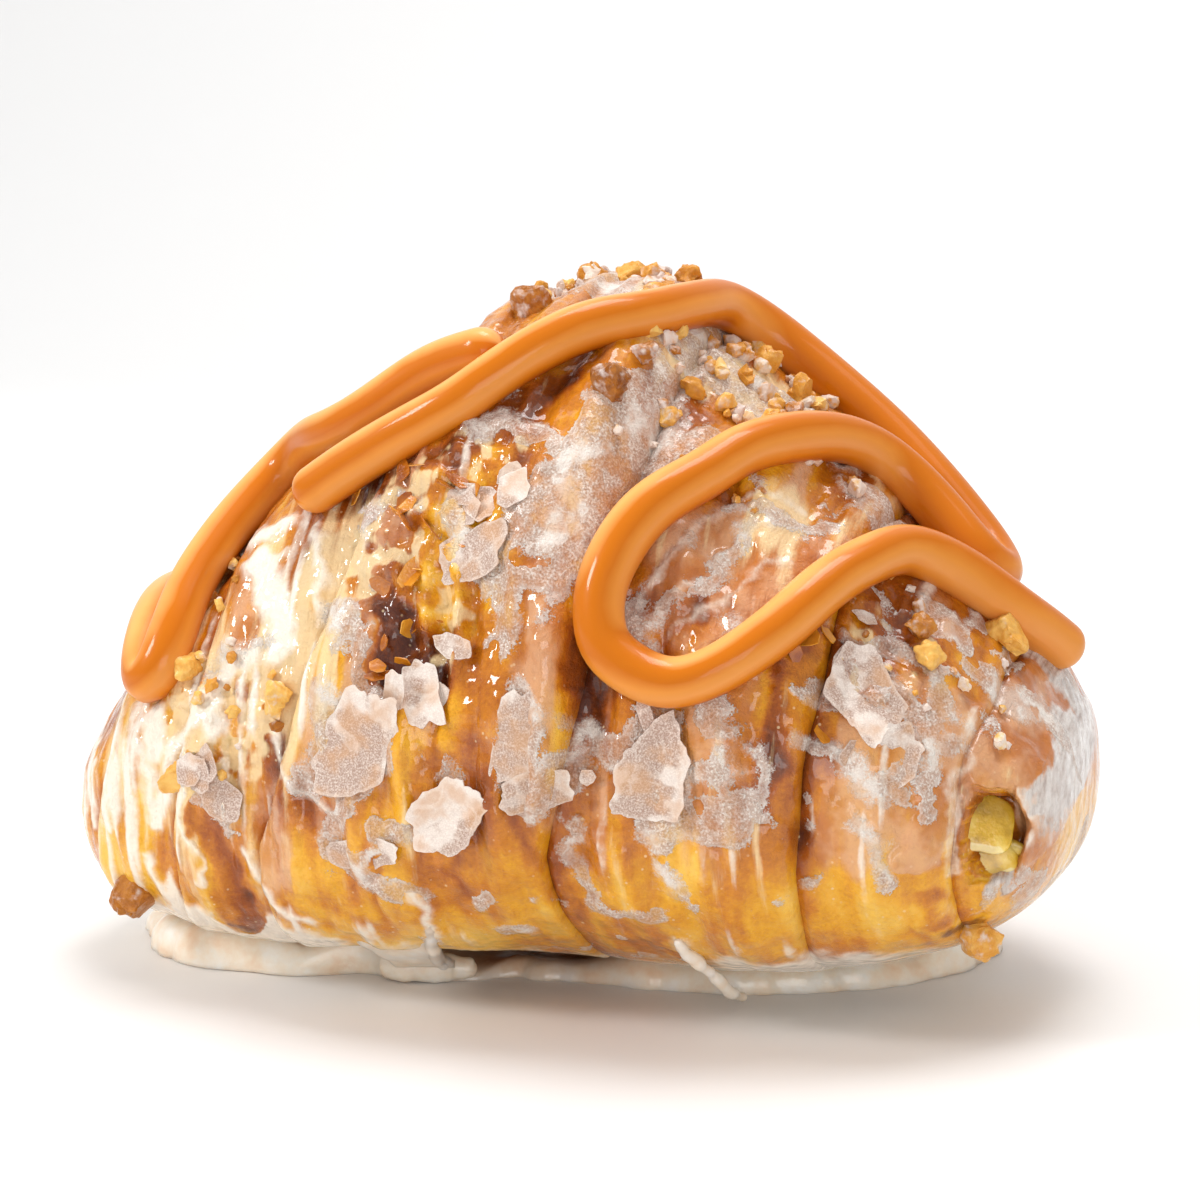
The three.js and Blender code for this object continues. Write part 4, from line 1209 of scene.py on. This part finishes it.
def makeWeb():   # a sheet of glaze drawn from the crust down to the pool
    piece, column, row = newGrid("glaze_web", pool["webCells"], pool["webCells"])
    across, down = (column / pool["webCells"])[:, None], (row / pool["webCells"])[:, None]
    topLeft, topRight, lowLeft, lowRight = np.array(glazeWeb, float)
    top, low = topLeft + (topRight - topLeft) * across, lowLeft + (lowRight - lowLeft) * across
    topMiddle, lowMiddle = (top[0] + top[-1]) / 2, (low[0] + low[-1]) / 2
    middle = topMiddle + (lowMiddle - topMiddle) * down
    bow = 4 * down * (1 - down)
    points = top + (low - top) * down
    points = middle + (points - middle) * (1 - pool["webWaist"] * bow)   # drawn in half way down
    points[:, 2] -= pool["webSag"] * bow[:, 0]
    points[:, 1] -= pool["webRough"] * rough(points, *pool["webSize"])
    writePoints(piece, inFrame(points))
    return applied(piece, "SOLIDIFY", thickness=pool["webThickness"] * mm, offset=0)


def makeRun(count, stations):
    way = threaded(stations, pool["runSteps"])
    line = way[:, :3]
    uneven = 1 + pool["ruffle"] * np.sin(np.arange(len(way)) * pool["ruffleRun"] + count)
    radius = way[:, 3] * (uneven + pool["ragged"] * rough(line, *pool["raggedSize"]))
    wander = np.column_stack([rough(line, pool["wanderSize"], shift) for shift in pool["wanderShifts"]])
    out = np.tile(pool["runOut"], (len(way), 1))
    line = line + pool["wander"] * wander
    return rope(f"glaze_run_{count}", line, out, radius, pool["runSides"], step=pool["runStep"])


def makePool(material):
    corners, steps = np.array(poolOutline, float), pool["steps"]
    ring = threaded(np.vstack([corners[-1:], corners, corners[:2]]), steps)[steps:-steps]
    bearing = np.arctan2(ring[:, 1], ring[:, 0])
    order = np.argsort(bearing)
    piece, column, row = newGrid("glaze_pool_set", pool["around"], pool["rows"])
    turn = math.pi * (2 * column / pool["around"] - 1)
    share = row / pool["rows"]
    rim = np.interp(turn, bearing[order], np.hypot(ring[:, 0], ring[:, 1])[order], period=2 * math.pi)
    way = np.column_stack([np.cos(turn), np.sin(turn), 0 * turn])
    rim = rim + pool["waver"] * (rough(way * rim[:, None], *pool["waverSize"]) - pool["waverLevel"])
    topEnd, edgeEnd = pool["topEnd"], pool["edgeEnd"]
    lean = np.clip((share - topEnd) / (edgeEnd - topEnd), 0, 1) * math.pi / 2
    inside = rim - pool["edge"]
    reach = np.where(share < topEnd, inside * share / topEnd, inside + pool["edge"] * np.sin(lean))
    reach = np.where(share > edgeEnd, rim * (1 - share) / (1 - edgeEnd), reach)
    points = way * reach[:, None]
    syrupAndPaintedShade = np.exp(-((points[:, 0] - pool["syrupShadeX"]) / pool["syrupShadeLength"]) ** 4)
    syrupAndPaintedShade = syrupAndPaintedShade * eased(-points[:, 1], 0, pool["syrupShadeEdge"])
    height = pool["thickness"] * np.cos(lean) ** pool["edgePower"] * (1 - pool["dip"] * syrupAndPaintedShade)
    height = height * (1 + pool["lumps"] * rough(points, *pool["lumpSize"]))
    points[:, 2] = np.where(share > edgeEnd, 0, height)
    clear = 1 - pool["rimCover"] * eased(share, topEnd, pool["coverEnd"])   # the painted brown and shade clear again down the rim, so it is white there
    closeSkin(piece, points, dict(syrupAndPaintedShade=syrupAndPaintedShade * clear))
    runs = [makeRun(count, stations) for count, stations in enumerate(glazeRuns)]
    finishPiece(joined([piece, *runs, makeWeb()], "glaze_pool_set"), material, "glaze_pool")


makePool(poolMaterial())
print("pool made")


# Pear core that shows at the mouth, as in the solids, with loose chunks at its end
pear = dict(
    halfWidth=3.9, halfHeight=7.0, recess=3.4, bluntness=3, steps=10, rows=120, around=60,
    fullness=0.93, lumps=0.07, lumpReach=9, lumpSize=(6, 2.2),
    chunkCuts=10, chunkSquareness=2.7, chunkNoise=0.1, chunkSize=4.0, paintedShadeTop=(-0.3, 0.8), rim=(0.75, 1.0),
)
pearRoute = (
    (-44, -4, 22), (-20, -1, 27), (10, -1, 29), (34, -4, 28), (46, -13, 26.5), (54.5, -27, 25.5),
)
pearChunks = (   # place, half sizes, turn in degrees
    ((52.9, -24.2, 26.0), (4.6, 0.8, 3.4), (-22, 14, 22)),
    ((53.8, -23.3, 21.6), (3.7, 0.8, 2.5), (-15, -14, 22)),
    ((56.4, -22.0, 23.0), (2.0, 0.6, 0.9), (10, 20, 10)),
)


def pearMaterial():
    material, shader = newMaterial("poached_pear")
    coords = objectCoords()
    flesh = grain(coords, 420, 4)
    colour = ramp(flesh, (0.3, (0.45, 0.25, 0.008)), (0.5, (0.74, 0.45, 0.03)), (0.72, (0.90, 0.66, 0.15)))
    # painted shade: the upper side of each chunk is darker, as it lies in shade inside the mouth
    colour = blendColour(calc("MULTIPLY", field("paintedShadeTop"), 0.6), colour, (0.30, 0.18, 0.010, 1))
    rim = stepped(field("rim"), 0.3, 1.0, 0.0, 0.55)   # cut edges are paler
    connect(blendColour(rim, colour, (0.95, 0.84, 0.50, 1)), shader, "Base Color")
    roughen(shader, grain(coords, 1500, 4), 0.4, 0.0004)
    setShader(shader, Roughness=0.2, Subsurface_Weight=0.3, Subsurface_Radius=(1.0, 0.8, 0.3),
              Subsurface_Scale=0.002, Coat_Weight=0.4, Coat_Roughness=0.08)
    return material


def makePear(material):
    route = np.array(pearRoute, float)
    outward = unitised(route[-1] - route[-2])
    line = threaded(np.vstack([route[:-1], route[-1] - outward * pear["recess"]]), pear["steps"])
    piece, column, row = newGrid("pear_filling_core", pear["around"], pear["rows"])
    turn = math.pi * (2 * column / pear["around"] - 1)
    share = row / pear["rows"]
    travelled = np.concatenate([[0], np.cumsum(np.linalg.norm(np.diff(line, axis=0), axis=1))])
    heading = np.gradient(line, travelled, axis=0)
    at = share * travelled[-1]
    middle = np.column_stack([np.interp(at, travelled, line[:, n]) for n in range(3)])
    heading = np.column_stack([np.interp(at, travelled, heading[:, n]) for n in range(3)])
    side = unitised(np.column_stack([heading[:, 1], -heading[:, 0], 0 * share]))
    closing = np.maximum(1 - np.abs(2 * share - 1) ** (4 * pear["bluntness"]), 0) ** (1 / pear["bluntness"])
    uneven = rough(middle + side * pear["lumpReach"] * np.cos(turn)[:, None], *pear["lumpSize"])
    lumpy = closing * (pear["fullness"] + pear["lumps"] * uneven)
    points = middle + side * (pear["halfWidth"] * lumpy * np.cos(turn))[:, None]
    points[:, 2] += pear["halfHeight"] * lumpy * np.sin(turn)
    chunks = [closeSkin(piece, points)]
    for place, halves, turns in pearChunks:
        bpy.ops.object.select_all(action="DESELECT")
        bpy.ops.mesh.primitive_cube_add(size=2)
        chunk = bpy.context.object
        bpy.ops.object.mode_set(mode="EDIT")
        bpy.ops.mesh.subdivide(number_cuts=pear["chunkCuts"])
        bpy.ops.object.mode_set(mode="OBJECT")
        local = readPoints(chunk)
        # painted shade on each chunk's upper side
        writeField(chunk, "paintedShadeTop", eased(local[:, 2], *pear["paintedShadeTop"]))
        writeField(chunk, "rim", eased(-local[:, 2], *pear["rim"]))
        squareness = pear["chunkSquareness"]
        local = local / (np.abs(local) ** squareness).sum(axis=1)[:, None] ** (1 / squareness) * halves
        local = local * (1 + pear["chunkNoise"] * rough(local, pear["chunkSize"], place[0]))[:, None]
        writePoints(chunk, local * mm)
        chunk.rotation_euler = [math.radians(turn) for turn in turns]
        chunk.location = inFrame(place)
        onlySelected(chunk)
        bpy.ops.object.transform_apply(location=True, rotation=True, scale=True)
        chunks.append(chunk)
    finishPiece(joined(chunks, "pear_filling_core"), material, "pear_filling")


makePear(pearMaterial())
print("pear made")


# Floor, light and camera
view = dict(lens=100, sensor=36, distance=406, azimuth=20, elevation=9.5, aim=(0, 0, 44))
studio = dict(
    floorSize=4.0, backAt=1.1, backRise=1.6, curve=0.5, curveSteps=16,
    floorColour=(0.82, 0.815, 0.81), world=0.55,
)
lamps = (   # place in metres, size, and watts
    dict(name="key_softbox", place=(-0.7, -0.55, 0.6), size=0.24, power=5.1),
    dict(name="top_softbox", place=(0.05, 0.12, 0.95), size=0.4, power=4.4),
    dict(name="front_fill", place=(0.5, -0.9, 0.14), size=0.5, power=2.9),
    dict(name="back_wash", place=(0.0, 0.35, 1.3), size=1.2, power=7.0, aim=(0, 1.1, 0.45)),
)


def makeStudio():
    material, shader = newMaterial("pale_floor")
    setShader(shader, Base_Color=(*studio["floorColour"], 1), Roughness=0.5)
    bpy.ops.object.select_all(action="DESELECT")
    middle = (0, studio["backAt"] - studio["floorSize"] / 2, 0)
    bpy.ops.mesh.primitive_plane_add(size=studio["floorSize"], location=middle)
    floor = bpy.context.object
    floor.name = "studio_floor"
    bpy.ops.object.transform_apply(location=True, rotation=True, scale=True)
    far = readPoints(floor)[:, 1] > studio["backAt"] - 0.01
    bpy.ops.object.mode_set(mode="EDIT")
    bpy.ops.mesh.select_all(action="DESELECT")
    bpy.ops.object.mode_set(mode="OBJECT")
    for edge in floor.data.edges:
        edge.select = all(far[i] for i in edge.vertices)
    bpy.ops.object.mode_set(mode="EDIT")
    bpy.ops.mesh.select_mode(type="EDGE")
    bpy.ops.mesh.extrude_region_move(TRANSFORM_OT_translate={"value": (0, 0, studio["backRise"])})
    bpy.ops.object.mode_set(mode="OBJECT")
    applied(floor, "BEVEL", width=studio["curve"], segments=studio["curveSteps"], limit_method="ANGLE")
    bpy.ops.object.shade_smooth()
    floor.data.materials.append(material)

    world = bpy.context.scene.world or bpy.data.worlds.new("studio")
    bpy.context.scene.world = world
    world.use_nodes = True
    background = world.node_tree.nodes["Background"]
    background.inputs["Color"].default_value = (1, 1, 1, 1)
    background.inputs["Strength"].default_value = studio["world"]
    for lamp in lamps:
        bpy.ops.object.light_add(type="AREA", location=lamp["place"])
        light = bpy.context.object
        light.name = lamp["name"]
        light.data.size = lamp["size"]
        light.data.energy = lamp["power"]
        aim = Vector(lamp.get("aim", inFrame(view["aim"])))
        light.rotation_euler = (aim - light.location).to_track_quat("-Z", "Y").to_euler()
    bpy.context.scene.view_settings.view_transform = "Standard"


def makeCamera():
    bearing, height = math.radians(view["azimuth"]), math.radians(view["elevation"])
    level = math.cos(height)
    back = Vector((math.sin(bearing) * level, -math.cos(bearing) * level, math.sin(height)))
    aim = Vector(inFrame(view["aim"]))
    bpy.ops.object.camera_add(location=aim + back * view["distance"] * mm)
    camera = bpy.context.object
    camera.data.lens = view["lens"]
    camera.data.sensor_width = view["sensor"]
    camera.rotation_euler = back.to_track_quat("Z", "Y").to_euler()
    bpy.context.scene.camera = camera


makeStudio()
makeCamera()
print("studio set")
